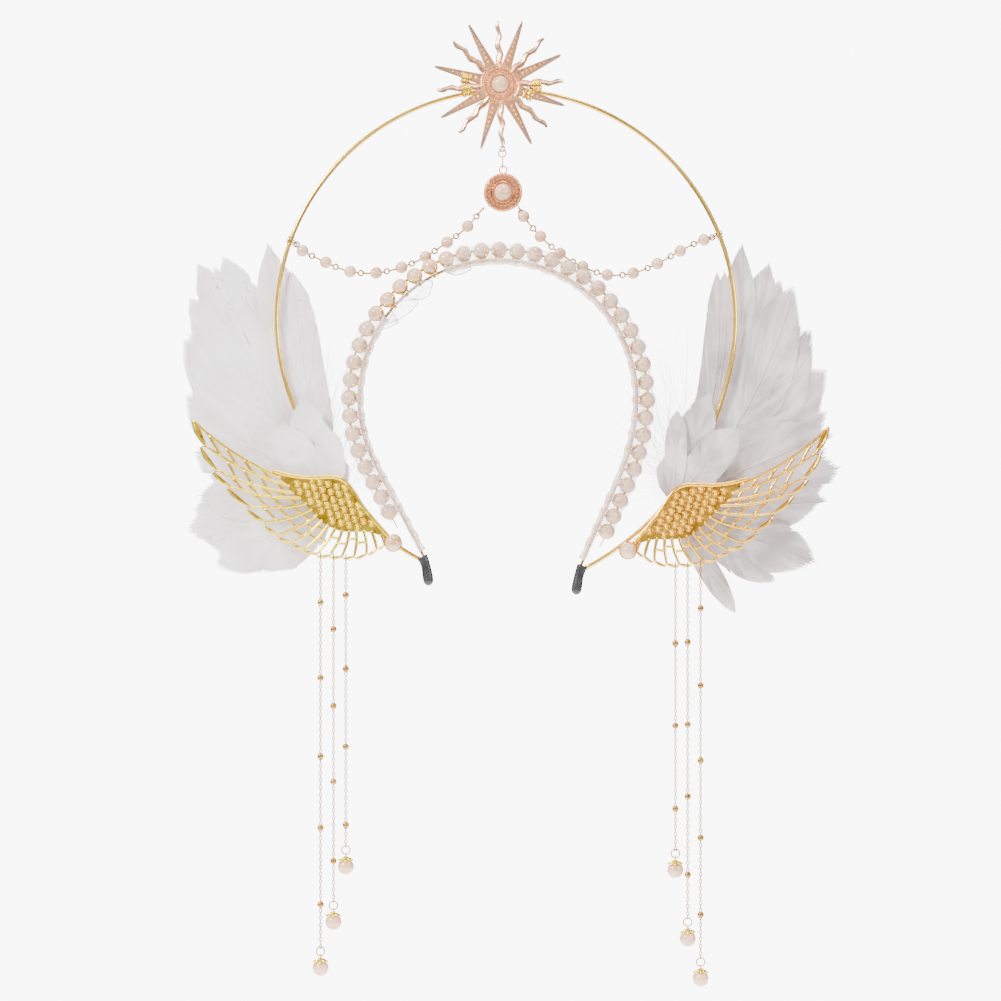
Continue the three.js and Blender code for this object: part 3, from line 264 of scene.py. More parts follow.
def copies_tree(kind):
    """A tree that puts a pearl, ring or block on each point."""
    tree = bpy.data.node_groups.new(f"{kind} on points", "GeometryNodeTree")
    sockets = tree.interface
    sockets.new_socket(name="Geometry", in_out="INPUT", socket_type="NodeSocketGeometry")
    for label in ("Size", "Wire", "Stretch"):
        sockets.new_socket(name=label, in_out="INPUT", socket_type="NodeSocketFloat")
    for label in ("Sides", "Rings"):
        sockets.new_socket(name=label, in_out="INPUT", socket_type="NodeSocketInt")
    sockets.new_socket(name="Finish", in_out="INPUT", socket_type="NodeSocketMaterial")
    sockets.new_socket(name="Geometry", in_out="OUTPUT", socket_type="NodeSocketGeometry")
    add, join = tree.nodes.new, tree.links.new
    given = add("NodeGroupInput").outputs
    result = add("NodeGroupOutput").inputs

    if kind == "pearl":
        shape = add("GeometryNodeMeshUVSphere")
        join(given["Sides"], shape.inputs["Segments"])
        join(given["Rings"], shape.inputs["Rings"])
        join(given["Size"], shape.inputs["Radius"])
        body = shape.outputs["Mesh"]
    elif kind == "ring":
        outline = add("GeometryNodeCurvePrimitiveCircle")
        join(given["Sides"], outline.inputs["Resolution"])
        join(given["Size"], outline.inputs["Radius"])
        stretch = add("ShaderNodeCombineXYZ")
        stretch.inputs["X"].default_value = 1
        stretch.inputs["Z"].default_value = 1
        join(given["Stretch"], stretch.inputs["Y"])
        drawn = add("GeometryNodeTransform")
        join(outline.outputs["Curve"], drawn.inputs["Geometry"])
        join(stretch.outputs["Vector"], drawn.inputs["Scale"])
        wire = add("GeometryNodeCurvePrimitiveCircle")
        join(given["Rings"], wire.inputs["Resolution"])
        join(given["Wire"], wire.inputs["Radius"])
        swept = add("GeometryNodeCurveToMesh")
        join(drawn.outputs["Geometry"], swept.inputs["Curve"])
        join(wire.outputs["Curve"], swept.inputs["Profile Curve"])
        body = swept.outputs["Mesh"]
    else:
        shape = add("GeometryNodeMeshCone")
        join(given["Sides"], shape.inputs["Vertices"])
        join(given["Size"], shape.inputs["Radius Bottom"])
        join(given["Stretch"], shape.inputs["Radius Top"])
        join(given["Wire"], shape.inputs["Depth"])
        body = shape.outputs["Mesh"]

    smooth = add("GeometryNodeSetShadeSmooth")
    smooth.inputs["Shade Smooth"].default_value = kind != "block"
    join(body, smooth.inputs["Geometry"])
    turn = add("GeometryNodeInputNamedAttribute")
    turn.data_type = "FLOAT_VECTOR"
    turn.inputs["Name"].default_value = "turn"
    share = add("GeometryNodeInputNamedAttribute")
    share.data_type = "FLOAT"
    share.inputs["Name"].default_value = "share"
    copies = add("GeometryNodeInstanceOnPoints")
    join(given["Geometry"], copies.inputs["Points"])
    join(smooth.outputs["Geometry"], copies.inputs["Instance"])
    join(turn.outputs["Attribute"], copies.inputs["Rotation"])
    join(share.outputs["Attribute"], copies.inputs["Scale"])
    real = add("GeometryNodeRealizeInstances")
    join(copies.outputs["Instances"], real.inputs["Geometry"])
    painted = add("GeometryNodeSetMaterial")
    join(real.outputs["Geometry"], painted.inputs["Geometry"])
    join(given["Finish"], painted.inputs["Material"])
    join(painted.outputs["Geometry"], result["Geometry"])
    return tree


TREES = {kind: copies_tree(kind) for kind in ("pearl", "ring", "block")}
print("trees:", sorted(TREES))

# %% Put copies on places


def turn_of(first, second):
    """The turn that lays a copy's X and Y along two directions."""
    first = unit(first)
    second = unit(np.asarray(second) - first * np.dot(first, second))
    third = np.cross(first, second)
    return tuple(Matrix(np.stack([first, second, third], axis=1).tolist()).to_euler())


def grow(name, kind, places, material, slot, replaces=(), turns=None, shares=None, **sizes):
    """Copies of one kind on the given places, as one plain mesh."""
    places = np.asarray(places, float)
    base = bpy.data.meshes.new(name)
    base.from_pydata((places * MM).tolist(), [], [])
    turns = np.zeros((len(places), 3)) if turns is None else np.asarray(turns, float)
    base.attributes.new("turn", "FLOAT_VECTOR", "POINT").data.foreach_set("vector", turns.ravel())
    shares = np.ones(len(places)) if shares is None else np.asarray(shares, float)
    base.attributes.new("share", "FLOAT", "POINT").data.foreach_set("value", shares)
    obj = bpy.data.objects.new(name, base)
    bpy.context.scene.collection.objects.link(obj)
    growth = obj.modifiers.new("copies", "NODES")
    growth.node_group = TREES[kind]
    values = {"Size": 1 * MM, "Wire": 0.3 * MM, "Stretch": 1.0, "Sides": 16, "Rings": 8,
              "Finish": material}
    values.update({label.capitalize(): value for label, value in sizes.items()})
    for item in TREES[kind].interface.items_tree:
        if item.in_out == "INPUT" and item.name in values:
            growth[item.identifier] = values[item.name]
    bpy.context.view_layer.update()
    view = bpy.context.evaluated_depsgraph_get()
    grown = bpy.data.meshes.new_from_object(obj.evaluated_get(view))
    obj.modifiers.remove(growth)
    obj.data = grown
    face_outward(grown)
    if not grown.materials:
        grown.materials.append(material)
    return settle(obj, replaces)


# %% [markdown]
# ## Finishes
# Plated metal is never one even colour: it has soft clouds, fine scratches and a slightly wavy
# skin. Nacre is creamy with a hard clear coat. Every finish reads the piece's own coordinates in
# metres, so a noise scale of 1000 gives marks of about a millimetre.

# %% A finish with nodes


class Finish:
    """A material whose nodes are added one by one, round its shader."""

    def __init__(self, name, **settings):
        self.material = bpy.data.materials.new(name)
        self.material.use_nodes = True
        self.tree = self.material.node_tree
        self.shader = self.tree.nodes["Principled BSDF"]
        for label, value in settings.items():
            self.shader.inputs[label.replace("_", " ")].default_value = value
        self.place = self.tree.nodes.new("ShaderNodeTexCoord")

    def node(self, kind, **values):
        made = self.tree.nodes.new(kind)
        for label, value in values.items():
            made.inputs[label.replace("_", " ")].default_value = value
        return made

    def join(self, source, target):
        self.tree.links.new(source, target)

    def into(self, label, source):
        self.join(source, self.shader.inputs[label])

    def sum(self, operation, first, second):
        made = self.tree.nodes.new("ShaderNodeMath")
        made.operation = operation
        self.join(first, made.inputs[0])
        self.join(second, made.inputs[1])
        return made.outputs["Value"]

    def noise(self, scale, detail=3.0):
        made = self.node("ShaderNodeTexNoise", Scale=scale, Detail=detail)
        self.join(self.place.outputs["Object"], made.inputs["Vector"])
        return made.outputs["Fac"]

    def ramp(self, factor, stops):
        made = self.node("ShaderNodeValToRGB")
        stages = made.color_ramp.elements
        while len(stages) < len(stops):
            stages.new(0.5)
        for stage, (where, colour) in zip(stages, stops):
            stage.position = where
            stage.color = (*colour, 1)
        self.join(factor, made.inputs["Fac"])
        return made.outputs["Color"]

    def spread(self, factor, low, high, start=0.3, end=0.7):
        made = self.tree.nodes.new("ShaderNodeMapRange")
        for label, value in (("From Min", start), ("From Max", end), ("To Min", low), ("To Max", high)):
            made.inputs[label].default_value = value
        self.join(factor, made.inputs["Value"])
        return made.outputs["Result"]

    def relief(self, height, strength, distance, under=None):
        made = self.node("ShaderNodeBump", Strength=strength, Distance=distance)
        self.join(height, made.inputs["Height"])
        if under is not None:
            self.join(under, made.inputs["Normal"])
        return made.outputs["Normal"]


# %% Plated metals


def metal(name, bright, deep, rough=(0.16, 0.3), wave=0.5):
    """Plating with cloudy colour, patchy gloss, a wavy skin and fine scratches."""
    made = Finish(name, Metallic=1.0)
    made.into("Base Color", made.ramp(made.noise(170), [(0.3, deep), (0.68, bright)]))
    made.into("Roughness", made.spread(made.noise(620), *rough))
    wavy = made.relief(made.noise(240, 1.0), wave, 0.0006)
    fine = made.relief(made.noise(2600), 0.12, 0.0001, wavy)
    made.into("Normal", fine)
    return made.material


LEFT_GOLD = metal("bright yellow gold plating", (1.0, 0.76, 0.035), (0.96, 0.62, 0.02), (0.12, 0.2), 0.5)
RIGHT_GOLD = metal("warm orange gold plating", (1.0, 0.62, 0.055), (0.93, 0.48, 0.035), (0.13, 0.22), 0.5)
# The shaded golds are darker copies of the platings, with painted shade in their colour: they go on the wing
# plates and the medallion, under the brighter ribs, studs, rope and blocks, so those stand out with dark rims.
LEFT_SHADE = metal("shaded yellow gold", (0.84, 0.53, 0.02), (0.36, 0.2, 0.006), (0.14, 0.24), 0.6)
RIGHT_SHADE = metal("shaded orange gold", (0.8, 0.42, 0.03), (0.34, 0.15, 0.01), (0.14, 0.24), 0.6)
ROSE_SHADE = metal("shaded rose gold", (1.0, 0.47, 0.23), (0.7, 0.28, 0.11), (0.24, 0.36), 0.4)
CHAIN_GOLD = metal("pale gold plating", (0.56, 0.28, 0.05), (0.26, 0.11, 0.015), (0.16, 0.26), 0.15)
BRASS = metal("satin brass wire", (1.0, 0.64, 0.1), (0.9, 0.52, 0.06), (0.14, 0.2), 0.05)
ROSE_GOLD = metal("satin rose gold", (1.0, 0.58, 0.3), (0.98, 0.48, 0.22), (0.2, 0.34), 0.3)
PIN_GOLD = metal("coppery gold wire", (0.58, 0.29, 0.05), (0.28, 0.12, 0.015), (0.16, 0.26), 0.12)


def worn_rose_gold(centre, start, end):
    """Rose gold that has worn to grey metal towards the tips of the rays."""
    made = Finish("rose gold with worn tips", Metallic=1.0)
    away = made.tree.nodes.new("ShaderNodeVectorMath")
    away.operation = "DISTANCE"
    made.join(made.place.outputs["Object"], away.inputs[0])
    away.inputs[1].default_value = centre
    outer = made.spread(away.outputs["Value"], 0.0, 0.85, start, end)
    patchy = made.sum("MULTIPLY", outer, made.spread(made.noise(420), 0.25, 1.0))
    blend = made.tree.nodes.new("ShaderNodeMix")
    blend.data_type = "RGBA"
    made.join(patchy, blend.inputs["Factor"])
    rose = made.ramp(made.noise(260), [(0.3, (0.95, 0.4, 0.17)), (0.68, (1.0, 0.53, 0.27))])
    made.join(rose, blend.inputs[6])
    blend.inputs[7].default_value = (0.36, 0.34, 0.32, 1)
    made.into("Base Color", blend.outputs[2])
    made.into("Roughness", made.spread(made.noise(620), 0.2, 0.34))
    made.into("Normal", made.relief(made.noise(500, 2.0), 0.35, 0.0004))
    return made.material


# %% Pearl, cloth, feather and rubber


def nacre():
    made = Finish("pearl nacre", Coat_Weight=1.0, Coat_Roughness=0.05, Specular_IOR_Level=0.6)
    creamy = [(0.32, (0.6, 0.28, 0.13)), (0.5, (0.9, 0.53, 0.3)), (0.68, (0.76, 0.46, 0.32))]
    made.into("Base Color", made.ramp(made.noise(190), creamy))
    made.into("Roughness", made.spread(made.noise(700), 0.2, 0.32))
    made.into("Normal", made.relief(made.noise(420), 0.08, 0.0003))
    return made.material


def woven_veil(name, thin, thick, shade=(0.66, 0.5, 0.48), light=(0.86, 0.74, 0.7)):
    """Organza: a fine plain weave, clear in places and denser in its creases."""
    made = Finish(name, Roughness=0.35, Sheen_Weight=0.3)
    threads = made.node("ShaderNodeTexWave", Scale=900.0, Distortion=0.4)
    made.join(made.place.outputs["Object"], threads.inputs["Vector"])
    crossing = made.node("ShaderNodeTexWave", Scale=900.0, Distortion=0.4)
    crossing.bands_direction = "Z"
    made.join(made.place.outputs["Object"], crossing.inputs["Vector"])
    weave = made.sum("MAXIMUM", threads.outputs["Fac"], crossing.outputs["Fac"])
    creases = made.spread(made.noise(420, 5.0), thin, thick, 0.42, 0.6)
    made.into("Alpha", made.sum("MULTIPLY", creases, made.spread(weave, 0.8, 1.0, 0.2, 0.9)))
    made.into("Base Color", made.ramp(made.noise(90), [(0.3, shade), (0.7, light)]))
    made.into("Normal", made.relief(weave, 0.2, 0.0001))
    return made.material


def feather_white(name, shade, light, cover=1.0):
    """White vane: faint clouds, soft streaks that follow the barbs, and fine barb lines."""
    made = Finish(name, Sheen_Weight=0.2, Specular_IOR_Level=0.25, Alpha=cover)
    stretched = made.tree.nodes.new("ShaderNodeMapping")
    stretched.inputs["Scale"].default_value = (0.11, 1.3, 1.0)
    made.join(made.place.outputs["UV"], stretched.inputs["Vector"])
    streak = made.node("ShaderNodeTexNoise", Scale=1.0, Detail=4.0)
    made.join(stretched.outputs["Vector"], streak.inputs["Vector"])
    both = made.sum("ADD", streak.outputs["Fac"], made.noise(45, 3.0))
    tones = [(0.15, shade), (0.85, light)]
    made.into("Base Color", made.ramp(made.spread(both, 0, 1, 0.7, 1.3), tones))
    made.into("Roughness", made.spread(made.noise(300), 0.6, 0.8))
    lines = made.node("ShaderNodeTexWave", Scale=6.0, Distortion=0.6)
    made.join(made.place.outputs["UV"], lines.inputs["Vector"])
    made.into("Normal", made.relief(lines.outputs["Fac"], 0.25, 0.0001))
    return made.material


def black_rubber():
    made = Finish("black rubber", Specular_IOR_Level=0.45)
    made.into("Base Color", made.ramp(made.noise(150), [(0.3, (0.012, 0.012, 0.013)), (0.7, (0.03, 0.03, 0.032))]))
    made.into("Roughness", made.spread(made.noise(380), 0.3, 0.5))
    made.into("Normal", made.relief(made.noise(900), 0.15, 0.0002))
    return made.material


NACRE = nacre()
VEIL = woven_veil("clear organza", 0.12, 0.52, shade=(0.66, 0.55, 0.48), light=(0.92, 0.83, 0.75))
LILAC = {"shade": (0.46, 0.43, 0.5), "light": (0.78, 0.76, 0.82)}
PADDING = woven_veil("folded organza", 0.3, 0.7, shade=(0.82, 0.5, 0.3), light=(1.0, 0.74, 0.56))
TAIL_CLOTH = woven_veil("crumpled organza", 0.1, 0.5, **LILAC)
FOLD = woven_veil("organza fold", 0.6, 0.95, **LILAC)
# The right plume's vanes are a darker copy of the same white, with painted half shade in their colour; the left
# plume's are the lit copy.
VANES = {
    "left": feather_white("white vane", (0.8, 0.72, 0.73), (0.98, 0.93, 0.94)),
    "right": feather_white("white vane in half shade", (0.46, 0.39, 0.4), (0.8, 0.71, 0.72)),
}
DOWN = feather_white("soft down", (0.6, 0.52, 0.54), (0.85, 0.79, 0.8), 0.4)
RUBBER = black_rubber()
print("finishes:", len(bpy.data.materials))

# %% [markdown]
# ## The band's route
# The hair band is a round over the head, an easing bend and a nearly straight leg on each side.
# Everything strung on the band is placed by its distance from the crown along that route, so the
# same sum that shaped the strip is repeated here.

# %% Follow the band
HEAD_RADIUS = 67.0
PAD_THICKNESS = 1.7
GAP = 0.3
STRIP_THICKNESS = 1.2
STRIP_WIDTH = 5.0
PEARL = 8.0
STRIP_LINE = HEAD_RADIUS + PAD_THICKNESS + GAP + STRIP_THICKNESS / 2
PEARL_OFFSET = STRIP_THICKNESS / 2 + GAP + PEARL / 2
TIP_LENGTH = 15.5
TIP_GRIP = 5.0
TIP_BENDS = {"left": -19, "right": -14}
PEARL_STOPS = {"left": 19.0, "right": 12.0}
BARE = {"from": math.radians(22) * STRIP_LINE, "to": math.radians(54) * STRIP_LINE}
# Each stretch turns by so many degrees over a length, given in radii of the band.
BAND_HALVES = {
    "left": [(114, math.radians(114)), (4, 1.6 * math.radians(4)), (0, 0.7)],
    "right": [(95.5, math.radians(95.5)), (18.5, 1.58 * math.radians(18.5)), (0, 0.66)],
}
REACH = {side: STRIP_LINE * sum(length for _, length in rows) for side, rows in BAND_HALVES.items()}


def band_frame(distance):
    """Point and outward direction at a distance from the crown, left when negative."""
    side = "left" if distance < 0 else "right"
    sign = SIDES[side]
    tip = (TIP_BENDS[side], TIP_LENGTH / 2 / STRIP_LINE)
    x, z, heading, left = 0.0, 0.0, 0.0, abs(distance)
    for degrees, share in [*BAND_HALVES[side], tip, (0, 1.0)]:
        length = STRIP_LINE * share
        used = min(left, length)
        turn = -math.radians(degrees) * used / length
        chord = used if abs(turn) < 1e-9 else used * math.sin(turn / 2) / (turn / 2)
        x += chord * math.cos(heading + turn / 2)
        z += chord * math.sin(heading + turn / 2)
        heading += turn
        left -= used
        if left <= 0:
            break
    point = np.array([sign * x, 0, z + STRIP_LINE - HEAD_RADIUS])
    outward = np.array([-sign * math.sin(heading), 0, math.cos(heading)])
    return point, outward


def band_stations(distances):
    frames = [band_frame(distance) for distance in distances]
    return tuple(np.array(rows) for rows in zip(*frames))


print("band from crown to tips, mm:", REACH)

# %% [markdown]
# ## The strip and its wire lacing
# A thin gold strip is the band itself. Fine wire is wound round it and between the pearls, one
# turn each way for every pearl, which is what shows as small crosses along the bare stretch.

# %% Make the strip


def rounded_bar(thick, wide, corner, steps=4):
    """A bar's section with round corners."""
    points = []
    for centre_x, centre_y, start in ((1, 1, 0), (-1, 1, 90), (-1, -1, 180), (1, -1, 270)):
        for step in range(steps + 1):
            angle = math.radians(start + 90 * step / steps)
            points.append((centre_x * (thick / 2 - corner) + corner * math.cos(angle),
                           centre_y * (wide / 2 - corner) + corner * math.sin(angle)))
    return points


def depth_rows(count):
    return np.tile(BACKWARD, (count, 1))


strip = Stock()
route = np.linspace(-REACH["left"] - TIP_GRIP, REACH["right"] + TIP_GRIP, 360)
points, outward = band_stations(route)
sweep(strip, points, outward, depth_rows(len(route)), rounded_bar(STRIP_THICKNESS, STRIP_WIDTH, 0.35))
make("band_strip", strip, CHAIN_GOLD, ["headband_strip"], sharp=50)

# %% String the pearls
PITCH = 9.0 * STRIP_LINE / (STRIP_LINE + PEARL_OFFSET)
string_from = -REACH["left"] + PEARL_STOPS["left"]
string_length = REACH["right"] - PEARL_STOPS["right"] - string_from
pearl_count = int(string_length // PITCH)
first_pearl = string_from + (string_length - (pearl_count - 1) * PITCH) / 2
pearl_places = first_pearl + PITCH * np.arange(pearl_count)
points, outward = band_stations(pearl_places)
rng = np.random.default_rng(7)
sway = rng.normal(0, 0.12, (pearl_count, 2))
centres = points + outward * (PEARL_OFFSET + sway[:, :1]) + BACKWARD * sway[:, 1:]
grow("band_pearls", "pearl", centres, NACRE, "pearl", ["pearl_row"],
     turns=rng.uniform(0, 6, (pearl_count, 3)), size=PEARL / 2 * MM, sides=28, rings=18)

# %% Wind the lacing
LACE_RADIUS = 0.42
lacing = Stock()
wound = np.arange(first_pearl - PITCH / 2, pearl_places[-1] + PITCH / 2, PITCH / 16)
points, outward = band_stations(wound)
for hand in (-1, 1):
    phase = (wound - first_pearl - PITCH / 2) * 2 * math.pi / PITCH
    rise = (2.3 + 3.35 * np.cos(phase))[:, None]
    round_it = (hand * (3.05 - 0.5 * np.cos(phase)) * np.sin(phase))[:, None]
    tube(lacing, points + outward * rise + BACKWARD * round_it, LACE_RADIUS, 6)
thread, thread_outward = band_stations(np.linspace(wound[0] - 5, wound[-1] + 5, 160))
tube(lacing, thread + thread_outward * PEARL_OFFSET, 0.3, 6)
make("band_lacing", lacing, RIGHT_GOLD)

# %% [markdown]
# ## The organza
# A strip of clear organza is wrapped round the band and its pearls, and a folded strip pads the
# inside. The lacing pinches the padding at every pearl, so its inner edge swells between turns.
# The wrap is a sleeve of one thin sheet, so it is a grid of corners bent along the band.

# %% Wrinkles from crossing waves


def wrinkles(a, b, seed, waves=7):
    """Smooth uneven relief from -1 to 1 over two coordinates."""
    dice = np.random.default_rng(seed)
    total = np.zeros(np.broadcast(a, b).shape)
    for _ in range(waves):
        along, aside, phase = dice.normal(0, 1), dice.normal(0, 1), dice.uniform(0, 2 * math.pi)
        total = total + np.sin(a * along + b * aside + phase)
    return total / waves ** 0.5 / 1.4


# %% Wrap the band
STRETCHES = {
    "left": (-REACH["left"] + 2.5, -BARE["to"]),
    "right": (-BARE["from"], REACH["right"] - 2.5),
}


def ease(value):
    value = np.clip(value, 0, 1)
    return value * value * (3 - 2 * value)


def wrap_sleeve(side):
    """A wrinkled sleeve round strip and pearls, open along the inside and drawn in at its ends."""
    start, end = STRETCHES[side]
    route = np.linspace(start, end, int((end - start) / 1.1))
    points, outward = band_stations(route)
    turn = np.linspace(math.pi + 0.1, 3 * math.pi - 0.1, 37)[None, :]
    near_pearls = ease((route - pearl_places[0] + 5) / 6) * ease((pearl_places[-1] + 5 - route) / 6)
    open_end = -1 if side == "left" else 1
    closing = ease((end - route) / 9) if open_end < 0 else ease((route - start) / 9)
    dip = 0.5 - 0.5 * np.cos((route - first_pearl) * 2 * math.pi / PITCH)
    top = (1.2 + (8.1 - 1.3 * dip) * near_pearls * (0.35 + 0.65 * closing))[:, None]
    low = -2.3
    crease = wrinkles(route[:, None] * 0.5, turn * 3 + route[:, None] * 0.16, 11 + open_end)
    fine = wrinkles(route[:, None] * 1.6, turn * 5, 31 + open_end)
    swell = 1 + 0.055 * crease + 0.035 * fine
    rise = (top + low) / 2 + (top - low) / 2 * np.cos(turn) * swell
    aside = (2.9 + 1.9 * near_pearls[:, None]) * np.sin(turn) * swell
    corners = points[:, None] + outward[:, None] * rise[..., None] + BACKWARD * aside[..., None]
    stock = Stock()
    flat = np.stack(np.broadcast_arrays(route[:, None], turn), axis=-1)
    stock.add(corners, grid_faces(len(route), 37), flat)
    sleeve = make(f"organza_wrap_{side}", stock, VEIL, closed=False)
    around = np.linalg.norm(np.diff(corners, axis=1), axis=2).sum(axis=1).mean()
    print(f"organza {side}: {around:.0f} x {end - start:.0f} mm")


for side in SIDES:
    wrap_sleeve(side)

# %% Pad the inside


def pad_inside(side):
    """The folded strip under the band, pinched by the lacing at every pearl."""
    start, end = STRETCHES[side]
    route = np.linspace(start, end, int((end - start) / 0.8))
    points, outward = band_stations(route)
    beat = np.cos((route - first_pearl) * 2 * math.pi / PITCH)
    slow = wrinkles(route * 0.35, 0 * route, 5 + SIDES[side])
    swell = 1 + 0.1 * beat + 0.08 * slow
    section = np.array([
        (-0.9, -3.4), (-0.2, -4.5), (0.6, -5.0), (-0.6, -5.2), (-1.5, -4.6), (-2.1, -3.0), (-2.3, -1.2),
        (-2.3, 1.2), (-2.1, 3.0), (-1.5, 4.6), (-0.6, 5.2), (0.6, 5.0), (-0.2, 4.5), (-0.9, 3.4),
    ])
    stock = Stock()
    corners = points[:, None] + outward[:, None] * section[None, :, :1]
    corners = corners + BACKWARD * section[None, :, 1:] * swell[:, None, None]
    bulge = 0.4 * beat[:, None] * (section[None, :, 0] < -1.5)
    corners = corners - outward[:, None] * bulge[..., None]
    faces = grid_faces(len(route), len(section), False, True)
    faces += end_faces(len(route), len(section))
    stock.add(corners, faces)
    pad = make(f"organza_pad_{side}", stock, PADDING, [f"ribbon_{side}"])


for side in SIDES:
    pad_inside(side)

# %% Let the loose ends hang in folds
# Each folded panel runs from a line along the strip to an outline inside the band, in x and z.
LOOSE_PANELS = [
    ([(-40.5, -9.0), (-50.5, -18.5)], [(-33, -7.6), (-32.6, -9.8),
      (-34.4, -15.5), (-38, -17.4), (-45, -17.8)]),
    ([(-48.0, -16.0), (-56.5, -27.0)], [(-40.2, -17.4), (-39.6, -19),
      (-44, -24), (-49.5, -27.5), (-54.5, -29.5)]),
    ([(-53.5, -22.5), (-59.5, -32.0)], [(-50.5, -27.3), (-49.6, -28.8),
      (-52.3, -30.5), (-55.5, -31.7), (-58.5, -32.8)]),
    ([(-27.5, -1.2), (-14.5, 0.2)], [(-27, -3.4), (-21.5, -5.4),
      (-18.4, -4.9), (-13.4, -2.6), (-13.8, -0.6)]),
]


def loose_panel(stock, fold, number, inner, outer):
    """A thin panel of the wrap's loose end, with a fold for a rim; returns its area."""
    inner = np.insert(np.array(inner, float), 1, -2.0 - 0.9 * (number % 3), axis=1)
    outer = np.insert(np.array(outer, float), 1, -3.2 - 1.1 * (number % 3), axis=1)
    rim = evenly(outer, 0.5)[1]
    share = np.linspace(0, 1, len(rim))[:, None]
    start = inner[0] + (inner[1] - inner[0]) * share
    out = np.linspace(0, 1, 14)[None, :]
    relief = wrinkles(share * 7, out * 5, 70 + number) * 0.9 * np.sin(out * math.pi)
    corners = start[:, None] + (rim - start)[:, None] * out[..., None] + BACKWARD * relief[..., None]
    flat = np.stack(np.broadcast_arrays(share * 20, out * 10), axis=-1)
    stock.add(corners, grid_faces(len(rim), 14), flat)
    tube(fold, rim, 0.28, 6)
    for end in (0, -1):
        side_edge = [rim[end], (rim[end] + start[end]) / 2 + [0, -0.6, 0], start[end]]
        tube(fold, smooth_route(side_edge, 0.5)[1], 0.2, 6)
    cells = np.cross(np.diff(corners, axis=0)[:, :-1], np.diff(corners, axis=1)[:-1])
    return np.linalg.norm(cells, axis=2).sum()


panels, folds = Stock(), Stock()
loose_area = sum(loose_panel(panels, folds, number, *panel)
                 for number, panel in enumerate(LOOSE_PANELS, 1))
loose_ends = make("organza_loose_ends", panels, TAIL_CLOTH, closed=False)
make("organza_folds", folds, FOLD)

# %% [markdown]
# ## The halo wire
# The halo is one brass wire: a bend out of each rubber tip, then a wide circle. Its plane leans
# back a little from the tips, and so does all that is fixed to it.

# %% Lean into the halo's plane
HALO_RADIUS = 115.0
HALO_CENTRE = np.array([4.0, -26.5])
HALO_WIRE = 2.2
LEAN = math.radians(2.4)
LEAN_FROM = (band_frame(-REACH["left"])[0][2] + band_frame(REACH["right"])[0][2]) / 2
LEAVES = {"left": -24, "right": -11}
SLOPE = math.radians(28)
HANDLE_SHARE = 0.36


def on_halo(points):
    """Points drawn upright, moved into the plane that leans back."""
    points = np.asarray(points, float)
    height = points[..., 2] - LEAN_FROM
    back = points[..., 1] * math.cos(LEAN) + height * math.sin(LEAN)
    up = -points[..., 1] * math.sin(LEAN) + height * math.cos(LEAN) + LEAN_FROM
    return np.stack([points[..., 0], back, up], axis=-1)


def halo_point(degrees):
    angle = math.radians(degrees)
    x, z = HALO_CENTRE + HALO_RADIUS * np.array([math.cos(angle), math.sin(angle)])
    return np.array([x, 0, z])


def lower_wire(side):
    """The bend from a rubber tip up to the circle."""
    sign = SIDES[side]
    point, outward = band_frame(sign * (REACH[side] + TIP_GRIP / 3))
    end = point + outward * (STRIP_THICKNESS / 2 + GAP + HALO_WIRE / 2)
    start = halo_point(LEAVES[side] if sign > 0 else 180 - LEAVES[side])
    handle = np.linalg.norm(start - end) * HANDLE_SHARE
    angle = math.radians(LEAVES[side])
    low = end + handle * np.array([sign * math.cos(SLOPE), 0, math.sin(SLOPE)])
    high = start + handle * np.array([sign * math.sin(angle), 0, -math.cos(angle)])
    t = np.linspace(0, 1, 40)[:, None]
    return (1 - t) ** 3 * end + 3 * (1 - t) ** 2 * t * low + 3 * (1 - t) * t ** 2 * high + t ** 3 * start


round_part = np.arange(180 - LEAVES["left"] - 1.5, LEAVES["right"] + 1, -1.5)
circle_part = [halo_point(angle) for angle in round_part]
halo_route = np.vstack([lower_wire("left"), circle_part, lower_wire("right")[::-1]])
halo = Stock()
tube(halo, on_halo(halo_route), HALO_WIRE / 2, 16)
make("halo_ring", halo, BRASS, ["halo_wire"])

# %% Cap the ends in rubber


def rubber_tip(side):
    """A soft black cap with a rounded nose and a thicker mouth."""
    sign = SIDES[side]
    shares = np.linspace(0, 1, 40)
    distances = sign * (REACH[side] + TIP_LENGTH * shares)
    points, outward = band_stations(distances)
    nose = np.sqrt(np.clip(1 - np.clip((shares - 0.82) / 0.18, 0, 1) ** 2, 0.0, 1))
    mouth = np.sqrt(np.clip(1 - np.clip((0.04 - shares) / 0.04, 0, 1) ** 2 * 0.4, 0.0, 1))
    swell = nose * mouth * (1 + 0.05 * np.cos(shares * 9))
    stock = Stock()
    centre = points + outward * 0.75
    sweep(stock, centre, outward, depth_rows(len(points)), rounded_bar(4.9, 6.4, 2.1, 6), scales=swell)
    make(f"rubber_cap_{side}", stock, RUBBER, [f"rubber_tip_{side}"])


for side in SIDES:
    rubber_tip(side)

# %% [markdown]
# ## The sunburst
# A cast sun: eight straight rays with raised rims and a row of balls, eight wavy rays with a
# ridge, and a hub with rings of granules round a bezel. Each ray is a row of stations with five
# corners each, so the rims and ridges are real relief that catches the light.

# %% Shape the rays
SUN = {"x": 1.0, "z": 91.0, "radius": 34.0, "back": -2.5, "front": -4.1}
# The rays aren't quite evenly spread; their directions are in degrees from rightward.
STRAIGHT = {"at": (70.7, 117.5, 164.5, 209.5, 253.5, 297.8, 341.8, 26.0), "length": 1.0, "base": 0.062}
WAVY = {"at": (91.8, 137.2, 184.8, 229.6, 272.0, 317.6, 362.5, 46.5), "length": 0.94, "base": 0.056}
HUB_SHARE = 0.26


